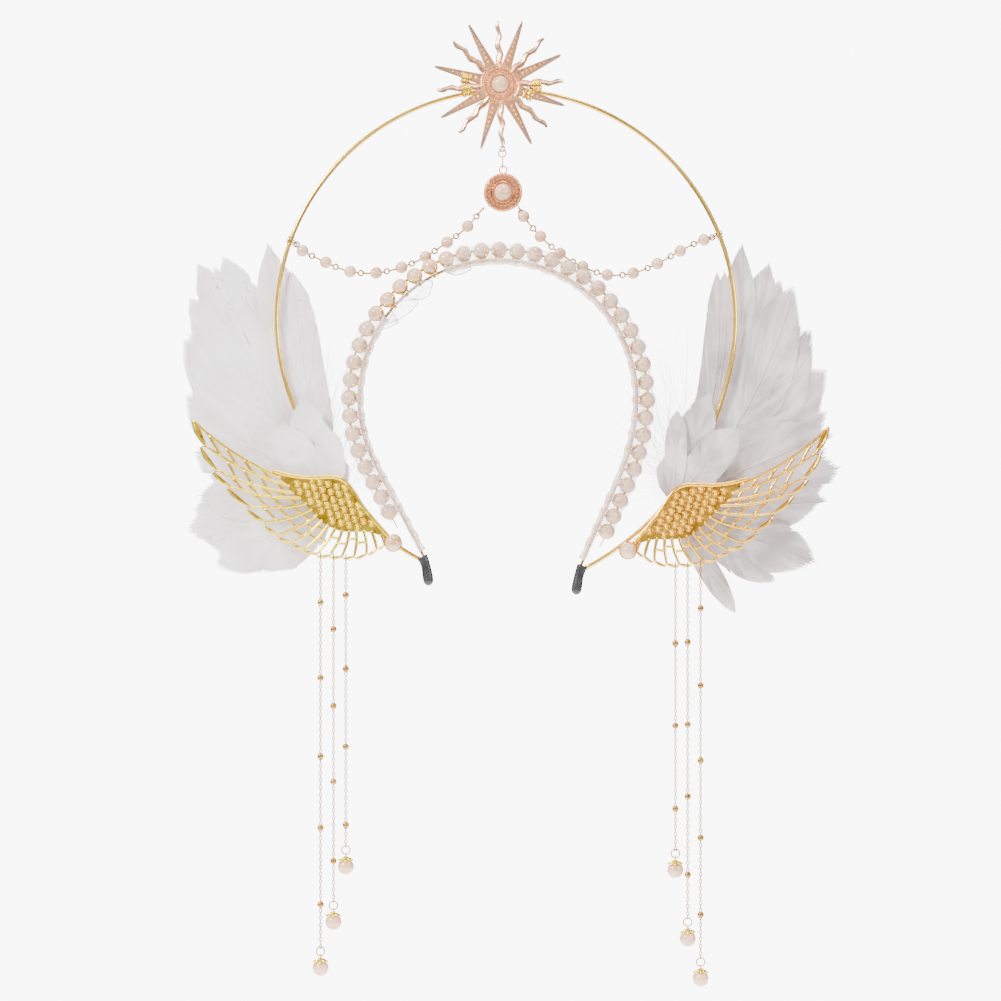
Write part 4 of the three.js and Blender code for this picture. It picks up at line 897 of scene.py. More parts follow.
def ray(stock, degrees, length, half, straight):
    """One ray of the sun from the hub to its tip."""
    shares = np.linspace(HUB_SHARE, 1, 30)
    out = length * shares
    left = (shares - HUB_SHARE) / (1 - HUB_SHARE)
    tip = np.sqrt(np.clip((1 - left) * 25, 0.3, 1))
    if straight:
        width = (half * (1 - left) + 0.62) * tip
        swing = 0 * left
        rim, middle = 0.45 * (1 - left * 0.7), 0.1 * (1 - left)
    else:
        width = (half * (0.98 - 0.5 * left) + 0.14 * np.sin(left * math.pi * 10)) * tip
        swing = half * 0.36 * np.sin(left * math.pi * 5) * ease(left * 3) * (1 - 0.3 * left)
        rim, middle = 0.05 * (1 - left), 0.75 * (1 - 0.5 * left)
    rows = [(-1, SUN["back"] + 0 * left), (-1, SUN["front"] - rim * 0.4), (-0.72, SUN["front"] - rim),
            (0, SUN["front"] - middle), (0.72, SUN["front"] - rim), (1, SUN["front"] - rim * 0.4),
            (1, SUN["back"] + 0 * left)]
    angle = math.radians(degrees)
    outward = np.array([math.cos(angle), 0, math.sin(angle)])
    aside = np.array([-math.sin(angle), 0, math.cos(angle)])
    centre = np.array([SUN["x"], 0, SUN["z"]])
    corners = []
    for share, depth in rows:
        across = swing + share * width
        corners.append(centre + out[:, None] * outward + across[:, None] * aside
                       + depth[:, None] * BACKWARD)
    corners = np.stack(corners, axis=1)
    faces = grid_faces(len(shares), len(rows), False, True)
    faces += end_faces(len(shares), len(rows))
    stock.add(on_halo(corners), faces)


sun = Stock()
for straight_at, wavy_at in zip(STRAIGHT["at"], WAVY["at"]):
    ray(sun, straight_at, SUN["radius"], SUN["radius"] * STRAIGHT["base"], True)
    ray(sun, wavy_at, SUN["radius"] * WAVY["length"], SUN["radius"] * WAVY["base"], False)

# %% Turn the hub and hang the eye
sun_centre = on_halo([SUN["x"], 0, SUN["z"]])
front, back = SUN["front"], SUN["back"]
hub_rows = [(back, 0), (back, 9.2), (front + 0.5, 9.9), (front - 0.1, 10.1), (front - 0.5, 9.9),
            (front - 0.6, 9.5),
            (front - 0.35, 9.1), (front - 0.4, 7.7), (front - 0.75, 7.5), (front - 0.75, 7.2),
            (front - 0.4, 7.0), (front - 0.45, 5.8), (front - 1.2, 5.5), (front - 1.4, 5.2),
            (front - 1.3, 4.6), (front - 0.3, 4.55), (front - 0.3, 0)]
hub = Stock()
turned(hub, [SUN["x"], 0, SUN["z"]], hub_rows, 72)
sun.add(on_halo(np.vstack(hub.corners)), hub.faces)
eye = np.array([SUN["x"] + 1.2, (front + back) / 2, SUN["z"] - SUN["radius"] * WAVY["length"] - 0.6])
tube(sun, on_halo(circle(eye, 1.3, RIGHTWARD, UPWARD, 24)), 0.38, 10, loop=True)
tilted = on_halo([[SUN["x"], front, SUN["z"]]])[0] * MM
worn = worn_rose_gold(tuple(float(value) for value in tilted), 0.019, 0.033)
make("sun_casting", sun, worn, ["sunburst"], sharp=38)

# %% Sprinkle the granules


def hub_ring(centre, radius, depth, count):
    """Places on a circle that faces the front."""
    return circle([centre[0], depth, centre[1]], radius, RIGHTWARD, UPWARD, count)


dots, dot_shares = [], []
for radius, count, size in ((8.4, 46, 0.46), (6.35, 34, 0.42), (5.3, 40, 0.3)):
    depth = front - (0.5 if radius > 6 else 1.25)
    dots.extend(hub_ring((SUN["x"], SUN["z"]), radius, depth, count))
    dot_shares.extend([size] * count)
for degrees in STRAIGHT["at"]:
    angle = math.radians(degrees)
    for share, size in ((0.37, 0.8), (0.44, 0.72), (0.51, 0.62), (0.58, 0.54), (0.65, 0.46), (0.72, 0.38)):
        out = SUN["radius"] * share
        dots.append([SUN["x"] + out * math.cos(angle), front - 0.3, SUN["z"] + out * math.sin(angle)])
        dot_shares.append(size)
grow("sun_granules", "pearl", on_halo(dots), ROSE_GOLD, "rose_gold", shares=dot_shares,
     size=1 * MM, sides=10, rings=6)


def half_pearl(name, centre, radius, replaced):
    stock = Stock()
    rows = ball_rows(radius, -90, 0, 14)
    rows = np.vstack([rows, [(0.25, radius), (0.25, 0)]])
    turned(stock, centre, rows, 40)
    make(name, stock, NACRE, [replaced])


half_pearl("sun_pearl", on_halo([SUN["x"], front - 0.6, SUN["z"]]), 4.25, "sunburst_pearl")

# %% [markdown]
# ## Wound wire
# Yellow wire lashes the sun to the halo, and coppery wire ties the swags to it. Each is a coil
# that runs along the halo wire with a few loose crossings, made by winding a point round it.

# %% Wind the lashings


def winding(stock, centre, along, turns, radius, wire, pitch, seed, deep=None):
    """Wire wound a few turns round a straight stretch, with uneven lay."""
    along = unit(along)
    across = unit(np.cross(BACKWARD, along))
    depth = np.cross(along, across)
    steps = int(turns * 14)
    turn = np.linspace(0, turns * 2 * math.pi, steps)[:, None]
    dice = np.random.default_rng(seed)
    uneven = np.interp(np.arange(steps), np.linspace(0, steps, 7), dice.normal(0, 0.4, 7))[:, None]
    lift = np.interp(np.arange(steps), np.linspace(0, steps, 9), dice.uniform(0, 0.5, 9))[:, None]
    place = (turn / (2 * math.pi) - turns / 2) * pitch + uneven
    rise = (radius + lift) * np.cos(turn) * across
    back = ((deep or radius) + lift) * np.sin(turn) * depth
    points = centre + along * place + rise + back
    tube(stock, points, wire, 7)


# Each lashing binds two spots, a ray and the halo wire with the sun's lower edge: where they
# are, the way the wire runs there, and how far the winding reaches up and down.
LASHINGS = {
    "left": [((-16.2, 94.4), (1.0, -0.2), 2.0), ((-15.6, 88.6), (1.0, 0.3), 2.6)],
    "right": [((19.3, 91.0), (1.0, 0.05), 2.2), ((15.6, 86.4), (1.0, -0.5), 2.5)],
}
LASHING_END = {"left": (-11.6, 84.6), "right": (12.2, 84.4)}
LASH_MIDDLE = -1.7
for side, spots in LASHINGS.items():
    lashing = Stock()
    for spot, ((x, z), (run, climb), rise) in enumerate(spots):
        place = on_halo([x, LASH_MIDDLE, z])
        winding(lashing, place, [run, 0, climb], 5, rise + 0.2, 0.48, 0.85,
                40 + spot + SIDES[side], 3.1)
    (x, _), (end_x, end_z) = spots[1][0], LASHING_END[side]
    tail = on_halo([[x, -4.6, 90], [(x + end_x) / 2, -5.1, 87], [end_x, -4.9, end_z]])
    tube(lashing, smooth_route(tail, 0.5)[1], 0.42, 7)
    make(f"sun_winding_{side}", lashing, LEFT_GOLD, [f"sun_lashing_{side}"])

SWAG_TIES = {"left": 160.0, "right": 21.5}
for number, (side, angle) in enumerate(SWAG_TIES.items()):
    tie = Stock()
    place = on_halo(halo_point(angle))
    along = on_halo(halo_point(angle - 1)) - on_halo(halo_point(angle + 1))
    winding(tie, place, along, 4, HALO_WIRE / 2 + 0.36, 0.3, 0.66, 60 + number)
    make(f"swag_winding_{side}", tie, PIN_GOLD, [f"swag_tie_{side}"])

# %% [markdown]
# ## The pendant
# A ring, an oval link and a medallion hang from the sun's lowest ray. The medallion has a rope
# rim, a ring of small blocks and a bezel round its pearl.

# %% Turn the medallion
MEDAL = {"x": 2.5, "z": 36.7, "radius": 9.75}
medal_y = box_mm("medallion")[1][1] - 1.2
medal = Stock()
turned(medal, [MEDAL["x"], medal_y, MEDAL["z"]], [
    (1.2, 0), (1.2, 9.0), (0.9, 9.5), (0.1, 9.75), (-0.8, 9.5), (-1.1, 9.1), (-1.15, 8.6), (-0.9, 8.25),
    (-0.6, 8.1), (-0.6, 6.0), (-0.9, 5.8), (-1.5, 5.5), (-1.7, 5.2), (-1.6, 4.75), (-0.6, 4.7), (-0.6, 0)], 72)
bail_z = MEDAL["z"] + MEDAL["radius"] + 1.9 - 0.35
tube(medal, circle([MEDAL["x"], medal_y, bail_z], 1.9, RIGHTWARD, UPWARD, 28), 0.36, 10, loop=True)
# The casting takes the darker shaded rose gold as painted shade, so the brighter rope rim and blocks stand out on
# it.
make("medallion_casting", medal, ROSE_SHADE, ["medallion"], sharp=38)

# %% Set the rope rim, the blocks and the pearl
rope, rope_turns = [], []
for angle in np.arange(0, 2 * math.pi, 2 * math.pi / 54):
    spoke = np.array([math.cos(angle), 0, math.sin(angle)])
    rope.append(np.array([MEDAL["x"], medal_y - 0.85, MEDAL["z"]]) + 9.05 * spoke)
    tangent = np.array([-math.sin(angle), 0, math.cos(angle)])
    rope_turns.append(turn_of(tangent + 0.9 * spoke, -BACKWARD))
grow("medallion_rope", "ring", rope, ROSE_GOLD, "rose_gold", turns=rope_turns,
     size=0.32 * MM, wire=0.3 * MM, stretch=1.0, sides=8, rings=6)
blocks, block_turns = [], []
for angle in np.arange(0, 2 * math.pi, 2 * math.pi / 22):
    spoke = np.array([math.cos(angle), 0, math.sin(angle)])
    blocks.append(np.array([MEDAL["x"], medal_y - 0.85, MEDAL["z"]]) + 7.05 * spoke)
    tangent = np.array([-math.sin(angle), 0, math.cos(angle)])
    block_turns.append(turn_of(unit(spoke + tangent), unit(tangent - spoke)))
grow("medallion_blocks", "block", blocks, ROSE_GOLD, "rose_gold", turns=block_turns,
     size=1.02 * MM, stretch=0.8 * MM, wire=0.9 * MM, sides=4)
half_pearl("medallion_stone", [MEDAL["x"], medal_y - 0.9, MEDAL["z"]], 4.4, "medallion_pearl")

# %% Link it to the sun


def wire_ring(name, line, wire, sides, finish, replaced):
    """A closed ring of wire in place of a packed one."""
    stock = Stock()
    tube(stock, line, wire, sides, loop=True)
    make(name, stock, finish, [replaced])


low, high = box_mm("pendant_ring")
wire_ring("pendant_jump_ring", circle((low + high) / 2, 1.9, RIGHTWARD, UPWARD, 28), 0.35, 10,
          ROSE_GOLD, "pendant_ring")
low, high = box_mm("pendant_link")
oval = circle((low + high) / 2, 1.24, BACKWARD, UPWARD, 28)
half_height = (high[2] - low[2]) / 2 - 0.35 - 1.24
oval[:, 2] += np.sign(oval[:, 2] - (low[2] + high[2]) / 2) * half_height
wire_ring("pendant_oval", oval, 0.35, 10, ROSE_GOLD, "pendant_link")

# %% [markdown]
# ## The swags
# Small pearls on wire pins hang in a curve from the halo to the medallion. The route is the one
# list of chosen points that the model uses. Between two pearls, each pin ends in an eye, and the
# two eyes hook into each other, one seen from the front and one edge-on.

# %% Follow the swags
SWAG_ROUTES = {
    "left": [(-99.5, 8.65), (-87, 2), (-75.5, -2.6), (-63.2, -3.8), (-50.5, -1.5), (-38.5, 3.3),
             (-26.8, 10.8), (-16.6, 18.4), (-8, 28)],
    "right": [(101.5, 12.4), (90.6, 7), (79, 0.6), (66.8, -4), (54.5, -4.6), (43, -0.8),
              (31.8, 5.6), (21.5, 14.4), (12.9, 24.6)],
}
SWAG_FRONT = {"left": (-5.8, 30.3), "right": (10.6, 29.2)}
SWAG_PEARL = 6.0
SWAG_PITCH = 13.1
SWAG_LEAD = 5.6
TIE_WIRE = 0.9
PIN = 0.46
EYE = {"radius": 1.3, "wire": 0.44, "shift": 1.1}


def swag_route(side):
    tie = halo_point(SWAG_TIES[side])
    inward = unit(np.array([HALO_CENTRE[0], 0, HALO_CENTRE[1]]) - tie)
    start = on_halo(tie) + inward * (HALO_WIRE / 2 + TIE_WIRE + 2 * GAP)
    middle = np.array([MEDAL["x"], 0, MEDAL["z"]])
    end_x, end_z = SWAG_FRONT[side]
    end = middle + unit(np.array([end_x, 0, end_z]) - middle) * (MEDAL["radius"] + GAP + 0.4)
    points = [start]
    for x, z in SWAG_ROUTES[side]:
        share = abs(x - start[0]) / abs(end[0] - start[0])
        points.append(np.array([x, start[1] + (medal_y - start[1]) * share, z]))
    points.append(np.array([end[0], medal_y, end[2]]))
    return smooth_route(points)


# %% String them


def string_swag(side):
    gone, line = swag_route(side)
    centres = np.arange(SWAG_LEAD, gone[-1] - SWAG_PEARL / 2, SWAG_PITCH)
    dice = np.random.default_rng(90)
    places = at(centres, gone, line)
    grow(f"swag_pearls_{side}", "pearl", places, NACRE, "pearl", [f"swag_{side}"],
         turns=dice.uniform(0, 6, (len(places), 3)), size=SWAG_PEARL / 2 * MM, sides=24, rings=16)
    pins = Stock()
    stops = np.concatenate([[-SWAG_PITCH / 2 + SWAG_LEAD], centres, [gone[-1] + 1.2]])
    rings, turns = [], []
    for before, after in zip(stops, stops[1:]):
        middle = (before + after) / 2
        for hand in (-1, 1):
            place = middle + hand * EYE["shift"]
            if not 0.6 < place < gone[-1] - 0.2:
                continue
            point = at([place], gone, line)[0]
            ahead = unit(at([place + 0.5], gone, line)[0] - at([place - 0.5], gone, line)[0])
            second = BACKWARD if hand > 0 else np.cross(ahead, BACKWARD)
            rings.append(point)
            turns.append(turn_of(ahead, second))
            pearl_edge = (before if hand < 0 else after) - hand * (SWAG_PEARL / 2 - 0.3)
            eye_edge = place + hand * EYE["radius"]
            if abs(eye_edge - pearl_edge) > 0.2 and 0 < pearl_edge < gone[-1]:
                steps = np.linspace(min(eye_edge, pearl_edge), max(eye_edge, pearl_edge), 6)
                tube(pins, at(steps, gone, line), PIN, 6)
    make(f"swag_pins_{side}", pins, PIN_GOLD)
    grow(f"swag_eyes_{side}", "ring", rings, PIN_GOLD, "rose_gold", turns=turns,
         size=EYE["radius"] * MM, wire=EYE["wire"] * MM, sides=16, rings=6)


for side in SIDES:
    string_swag(side)

# %% [markdown]
# ## The gold wings
# Each wing is a stamped plate, pierced with cells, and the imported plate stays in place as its
# body. Round ribs are laid on its face along the same curves, with bars between the cells, so the
# stamped relief catches the light. Rows of round studs, each in a ring, cover the shoulder.

# %% Repeat the wing's own drawing
WING_SPAN = 100.0
RIB_WIDTH = 1.0
WING_FRONT = -(HALO_WIRE / 2 + 0.3 + 1.1 + 2 * 0.7 + 0.3) - 1.2
CUPS = {"left": (-52.2, -139.2), "right": (64.75, -143.0)}
# Where each rib leaves the shoulder, where its feather's tip is, and how many cells it has.
WING_FEATHERS = [
    (0.515, 0.285, 1.005, 0.618, 5), (0.495, 0.25, 0.963, 0.481, 5), (0.46, 0.225, 0.9, 0.355, 5),
    (0.43, 0.198, 0.829, 0.274, 4), (0.405, 0.17, 0.731, 0.169, 4), (0.38, 0.142, 0.644, 0.085, 3),
    (0.355, 0.115, 0.577, 0.025, 3), (0.325, 0.093, 0.5, -0.01, 3), (0.29, 0.076, 0.444, -0.042, 2),
    (0.255, 0.066, 0.38, -0.066, 2), (0.22, 0.063, 0.314, -0.073, 2), (0.185, 0.064, 0.252, -0.077, 2),
    (0.148, 0.064, 0.188, -0.077, 2), (0.11, 0.06, 0.124, -0.059, 1), (0.062, 0.043, 0.075, -0.031, 1),
]
SHOULDER = [(0.023, 0.042), (0.086, 0.113), (0.149, 0.19), (0.198, 0.267), (0.233, 0.309),
            (0.275, 0.331), (0.436, 0.333), (0.521, 0.345), (0.598, 0.366)]
LEAD_RIB = (0.56, 0.328)
ROOT_END = (0.035, -0.012)
RIB_SAG = 0.1


def rib(start, end):
    """A sagging rib as a function from 0 to 1."""
    start, end = np.asarray(start) * WING_SPAN, np.asarray(end) * WING_SPAN
    chord = end - start
    control = start + chord / 2 + np.array([chord[1], -chord[0]]) * RIB_SAG

    def point(share):
        share = np.asarray(share, float)[..., None]
        return (1 - share) ** 2 * start + 2 * share * (1 - share) * control + share ** 2 * end

    return point


tips = [np.array(row[2:4]) for row in WING_FEATHERS]
ribs = [rib(LEAD_RIB, tips[0])]
for index, row in enumerate(WING_FEATHERS):
    base = np.array(row[:2])
    following = tips[index + 1] if index + 1 < len(tips) else np.array(ROOT_END)
    notch = following + (tips[index] - following) * 0.14
    notch = notch + (base - notch) * (0.07 if index + 1 < len(tips) else 0.2)
    ribs.append(rib(base, notch))

# %% Lay the ribs and bars


def wing_place(side, flat, lift=0.0):
    """Points of the wing's drawing, on the face of its plate."""
    flat = np.asarray(flat, float)
    x, z = CUPS[side]
    depth = np.full(flat.shape[:-1], WING_FRONT) - lift
    return on_halo(np.stack([x + SIDES[side] * flat[..., 0], depth, z + flat[..., 1]], axis=-1))


def wing_wires(side):
    stock = Stock()
    share = np.linspace(0, 1, 22)
    thinner = 1 - 0.25 * share
    for curve in ribs:
        tube(stock, wing_place(side, curve(share)), 0.84, 8, scales=thinner)
    for index, row in enumerate(WING_FEATHERS):
        cells = row[4]
        stagger = 0.35 / cells if index % 2 else 0
        for cell in range(1, cells):
            where = cell / cells - stagger
            ends = np.array([ribs[index](where), ribs[index + 1](where)])
            bar = ends[0] + (ends[1] - ends[0]) * np.linspace(0, 1, 5)[:, None]
            tube(stock, wing_place(side, bar), 0.7, 6)
        tip, notch = tips[index] * WING_SPAN, ribs[index + 1](1.0)
        swell = np.array([tip[1] - notch[1], notch[0] - tip[0]]) * 0.09
        middle = tip + (notch - tip) * 0.45 + swell
        outline = smooth_route(np.array([[*tip, 0], [*middle, 0], [*notch, 0]]), 0.6)[1][:, :2]
        tube(stock, wing_place(side, outline), 0.72, 8)
    upper = [[x * WING_SPAN + 0.5, z * WING_SPAN - 0.5, 0] for x, z in SHOULDER]
    tube(stock, wing_place(side, smooth_route(upper, 1.0)[1][:, :2], 0.1), 1.0, 12)
    return stock


# %% Set the studs
STUD_PITCH = 4.3
STUD_RADIUS = 1.15


def drawn_in(outline, distance):
    """An outline moved inwards by a distance."""
    outline = np.asarray(outline, float)
    nearby = np.roll(outline, -1, axis=0)
    area = 0.5 * np.sum(outline[:, 0] * nearby[:, 1] - nearby[:, 0] * outline[:, 1])
    a, b = unit(outline - np.roll(outline, 1, axis=0)), unit(nearby - outline)
    normal = unit(np.stack([-(a + b)[:, 1], (a + b)[:, 0]], axis=1)) * np.sign(area)
    lean = np.abs(normal[:, 0] * -a[:, 1] * np.sign(area) + normal[:, 1] * a[:, 0] * np.sign(area))
    return outline + normal * (distance / np.maximum(0.5, lean))[:, None]


def inside(place, outline):
    hit = False
    for a, b in zip(outline, np.roll(outline, -1, axis=0)):
        if (a[1] > place[1]) != (b[1] > place[1]):
            if place[0] < (b[0] - a[0]) * (place[1] - a[1]) / (b[1] - a[1]) + a[0]:
                hit = not hit
    return hit


shoulder_outline = np.array([*SHOULDER, *[row[:2] for row in WING_FEATHERS]]) * WING_SPAN
stud_bounds = drawn_in(shoulder_outline, STUD_RADIUS + 0.4)
slope = math.radians(14)
studs = []
for row in range(-12, 16):
    for column in range(-4, 20):
        along, up = (column + (0.5 if row % 2 else 0)) * STUD_PITCH, row * STUD_PITCH * 0.8
        place = (along * math.cos(slope) - up * math.sin(slope),
                 along * math.sin(slope) + up * math.cos(slope))
        if inside(place, stud_bounds):
            studs.append(place)
studs = np.array(studs)

for side, plating, painted_shade_gold in (("left", LEFT_GOLD, LEFT_SHADE), ("right", RIGHT_GOLD, RIGHT_SHADE)):
    make(f"wing_ribs_{side}", wing_wires(side), plating)
    facing = turn_of(RIGHTWARD, UPWARD)
    grow(f"wing_collets_{side}", "ring", wing_place(side, studs, 0.1), plating, "gold",
         turns=[facing] * len(studs), size=1.5 * MM, wire=0.3 * MM, sides=18, rings=6)
    grow(f"wing_studs_{side}", "pearl", wing_place(side, studs, -0.15), plating, "gold",
         size=1.3 * MM, sides=14, rings=10)
    # The plate takes the darker shaded gold: painted shade round the ribs, collets and studs laid on it.
    plate = bpy.data.objects[f"gold_wing_{side}"]
    plate.data.materials.clear()
    plate.data.materials.append(painted_shade_gold)

# %% Set the pearl in its cup
for side, plating in (("left", LEFT_GOLD), ("right", RIGHT_GOLD)):
    x, z = CUPS[side]
    low, high = box_mm(f"wing_pearl_{side}")
    rim = WING_FRONT - GAP - 0.7
    post, seat = -HALO_WIRE / 2 - GAP, WING_FRONT - GAP
    rows = [(post, 0), (post, 1.5), (seat, 1.5), (seat, 2.6), (rim + 0.1, 3.4), (rim - 0.8, 4.0), (rim - 1.7, 4.4), (rim - 2.1, 4.5), (rim - 2.3, 4.4),
            (rim - 2.15, 4.2), (rim - 1.2, 3.8), (rim - 0.3, 3.0), (rim - 0.05, 2.4), (rim - 0.05, 0)]
    cup = Stock()
    turned(cup, [x, 0, z], rows, 40)
    cup.corners = [on_halo(corners) for corners in cup.corners]
    make(f"wing_socket_{side}", cup, plating, [f"wing_cup_{side}"], sharp=45)
    ball = Stock()
    turned(ball, (low + high) / 2, ball_rows(4.1), 36)
    make(f"wing_bead_{side}", ball, NACRE, [f"wing_pearl_{side}"])

# %% [markdown]
# ## The tassels
# Six fine chains hang from the wings. Their links lie by turns face-on and edge-on, with small
# gold beads strung between, and a capped pearl hangs from the last ring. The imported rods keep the
# chains' place, and the links are copies on points down each rod.

# %% Hang the chains
LINK = {"pitch": 1.8, "radius": 0.64, "wire": 0.29, "stretch": 1.6}
BEAD = 3.3
# How far below its hook each gold bead sits, in millimetres.
TASSEL_BEADS = {
    "left_1": (23.1, 60.8, 100.0, 135.6, 173.9),
    "left_2": (35.9, 74.2, 112.0, 151.5),
    "left_3": (18.6, 55.4, 94.2, 133.3),
    "right_1": (22.3, 60.8, 98.3, 136.8, 175.2),
    "right_2": (38.5, 79.7, 115.6, 154.5),
    "right_3": (38.9, 79.9, 121.4),
}
FACE_ON = turn_of(RIGHTWARD, UPWARD)
EDGE_ON = turn_of(BACKWARD, UPWARD)


def hang_tassel(tag):
    low, high = box_mm(f"chain_{tag}")
    hook_low, hook_high = box_mm(f"hook_{tag}")
    x, y = (low[0] + high[0]) / 2, (low[1] + high[1]) / 2
    top, bottom = high[2] + 0.5, low[2] - 0.3
    count = int((top - bottom) / LINK["pitch"]) + 1
    heights = np.linspace(top, bottom, count)
    places = np.stack([np.full(count, x), np.full(count, y), heights], axis=1)
    turns = [FACE_ON if index % 2 else EDGE_ON for index in range(count)]
    grow(f"chain_links_{tag}", "ring", places, CHAIN_GOLD, "gold", [f"chain_{tag}"], turns=turns,
         size=LINK["radius"] * MM, wire=LINK["wire"] * MM, stretch=LINK["stretch"], sides=10, rings=5)
    hook_z = (hook_low[2] + hook_high[2]) / 2
    beads = [(x, y, hook_z - below) for below in TASSEL_BEADS[tag]]
    grow(f"chain_beads_{tag}", "pearl", beads, CHAIN_GOLD, "gold", size=BEAD / 2 * MM, sides=20, rings=12)


def drop_findings(tag):
    """The hook, the last ring, and the petal cap with its loop."""
    low, high = box_mm(f"hook_{tag}")
    wire_ring(f"chain_hook_{tag}", circle((low + high) / 2, 1.7, BACKWARD, UPWARD, 24), 0.34, 8,
              CHAIN_GOLD, f"hook_{tag}")
    low, high = box_mm(f"end_ring_{tag}")
    wire_ring(f"drop_ring_{tag}", circle((low + high) / 2, 2.1, RIGHTWARD, UPWARD, 28), 0.34, 8,
              CHAIN_GOLD, f"end_ring_{tag}")

    low, high = box_mm(f"drop_pearl_{tag}")
    centre = (low + high) / 2
    petals, around, down = 8, 64, 10
    turn = np.linspace(0, 2 * math.pi, around, endpoint=False)[None, :]
    share = np.linspace(0, 1, down)[:, None]
    lobe = np.abs(np.cos(turn * petals / 2))
    polar = np.radians(8 + (30 + 16 * lobe) * share)
    radius = 4.15 + 0.28 * lobe * share + 0.35 * np.sin(share * math.pi)
    cap = Stock()
    for skin in (0.0, 0.32):
        reach = radius + skin
        rows = np.stack([reach * np.sin(polar) * np.cos(turn), reach * np.sin(polar) * np.sin(turn),
                         reach * np.cos(polar) + 0 * turn], axis=-1)
        cap.corners.append(centre + rows.reshape(-1, 3))
        cap.flat.append(np.zeros((around * down, 2)))
    grid = np.array(grid_faces(down, around, False, True))
    size = around * down
    cap.faces = [*grid[:, ::-1].tolist(), *(grid + size).tolist()]
    for row in (0, down - 1):
        for column in range(around):
            a, b = row * around + column, row * around + (column + 1) % around
            cap.faces.append([a, b, b + size, a + size])
    cap.count = 2 * size
    turned(cap, centre, [(4.2, 0), (4.3, 1.0), (4.9, 1.15), (5.3, 0.8), (5.5, 0)], 20, UPWARD)
    cap_top = box_mm(f"drop_cap_{tag}")[1][2]
    loop_centre = np.array([centre[0], centre[1], cap_top - 1.45])
    tube(cap, circle(loop_centre, 1.15, BACKWARD, UPWARD, 20), 0.28, 8, loop=True)
    make(f"petal_cap_{tag}", cap, LEFT_GOLD, [f"drop_cap_{tag}"], sharp=60)
    grow(f"cap_granules_{tag}", "pearl",
         circle(centre + UPWARD * 3.35, 3.25, RIGHTWARD, BACKWARD, petals), LEFT_GOLD, "gold",
         size=0.55 * MM, sides=8, rings=6)
    ball = Stock()
    turned(ball, centre, ball_rows(4.0), 32, UPWARD)
    make(f"drop_bead_{tag}", ball, NACRE, [f"drop_pearl_{tag}"])


for tag in TASSEL_BEADS:
    hang_tassel(tag)
    drop_findings(tag)

# %% [markdown]
# ## The feathers
# A feather's vane isn't a leaf: it is hundreds of barbs side by side, each leaving the stem at a
# slant, and where neighbours lose their grip the vane splits. So every barb here is a thin
# ribbon, and the barbs are gathered in locks whose ends draw together, as on a real plume. Down
# is made by the same rule with thin, loose, wavy barbs.

# %% The plumes' plan
PLUME_REACH = 138.0
PLUMES = {
    "left": {
        "pad": (-82, -119), "blunt": 3.3, "sweep": 4, "wide": 1.0, "filled_to": 180,
        "back": [
            (0.98, 0.17, 16.5, 1, -0.03), (0.86, 0.15, 12.5, 0, -0.04), (1.0, 0.2, 22.5, 2, 0.03),
            (1.01, 0.2, 27, 1, 0.05), (0.92, 0.2, 32.5, 0, 0.05), (0.82, 0.22, 39.5, 2, 0.06),
            (0.68, 0.22, 51, 1, 0.06), (0.5, 0.17, 88, 0, -0.03), (0.55, 0.2, 101, 2, -0.02),
            (0.49, 0.19, 116, 1, 0.03), (0.34, 0.15, 133, 0, 0.03),
        ],
        "front": [
            (0.4, 0.14, 17, 0, 0.04), (0.36, 0.14, 36, 1, 0.04), (0.29, 0.1, 4, 1, 0.02),
            (0.17, 0.08, -10, 0, 0.02),
        ],
        "down": [
            (0.62, 0.2, 11, 2, -0.1), (0.5, 0.2, 4, 1, -0.1), (0.36, 0.2, -8, 1, -0.08),
            (0.75, 0.16, 14, 2, -0.06), (0.3, 0.2, 20, 0, 0), (0.26, 0.2, -26, 0, -0.06),
        ],
    },
    "right": {
        "pad": (88, -119), "blunt": 3.1, "sweep": 19, "wide": 1.25, "filled_to": 90,
        "back": [
            (0.98, 0.14, 16, 1, -0.02), (0.86, 0.1, 11.5, 0, -0.02), (0.96, 0.17, 20, 2, 0.03),
            (0.92, 0.19, 27, 0, 0.04), (0.83, 0.19, 36, 1, 0.05), (0.76, 0.2, 46, 2, 0.05),
            (0.64, 0.2, 63, 0, 0.06), (0.62, 0.19, 80, 1, -0.05), (0.56, 0.19, 94, 2, -0.08),
            (0.56, 0.2, 118, 0, -0.1), (0.47, 0.13, 131, 1, -0.05), (0.46, 0.08, 155, 0, -0.08),
        ],
        "front": [
            (0.42, 0.13, 15, 0, 0.05), (0.36, 0.14, 38, 1, 0.04), (0.34, 0.08, 1, 1, 0.02),
            (0.18, 0.08, -13, 0, 0.02),
        ],
        "down": [
            (0.68, 0.2, 9, 2, -0.08), (0.55, 0.22, 0, 1, -0.1), (0.42, 0.22, -16, 1, -0.08),
            (0.34, 0.22, -30, 0, -0.06), (0.3, 0.2, 14, 0, 0), (0.5, 0.16, -6, 2, -0.1),
        ],
    },
}
STYLES = {
    "vane": {"pitch": 0.75, "ribbon": 1.5, "steps": 6, "grip": 0.95, "pull": 0.1, "wave": 0.0,
             "root": 0.66},
    "down": {"pitch": 1.5, "ribbon": 0.17, "steps": 10, "grip": 0.5, "pull": 0.1, "wave": 0.8,
             "root": 0.6},
}

# %% Grow one feather


def vane_half(share, blunt, tip_from=0.56):
    """Half of a vane's width along its length, as a share of the width."""
    rise = np.clip(share / 0.38, 0.0, 1) ** 0.7
    end = np.clip((share - tip_from) / (1 - tip_from), 0, 1)
    return 0.5 * rise * (1 - end ** blunt)


def locks(count, grip, dice):
    """Numbers that say which barbs cling together."""
    return np.cumsum(dice.random(count) > grip)


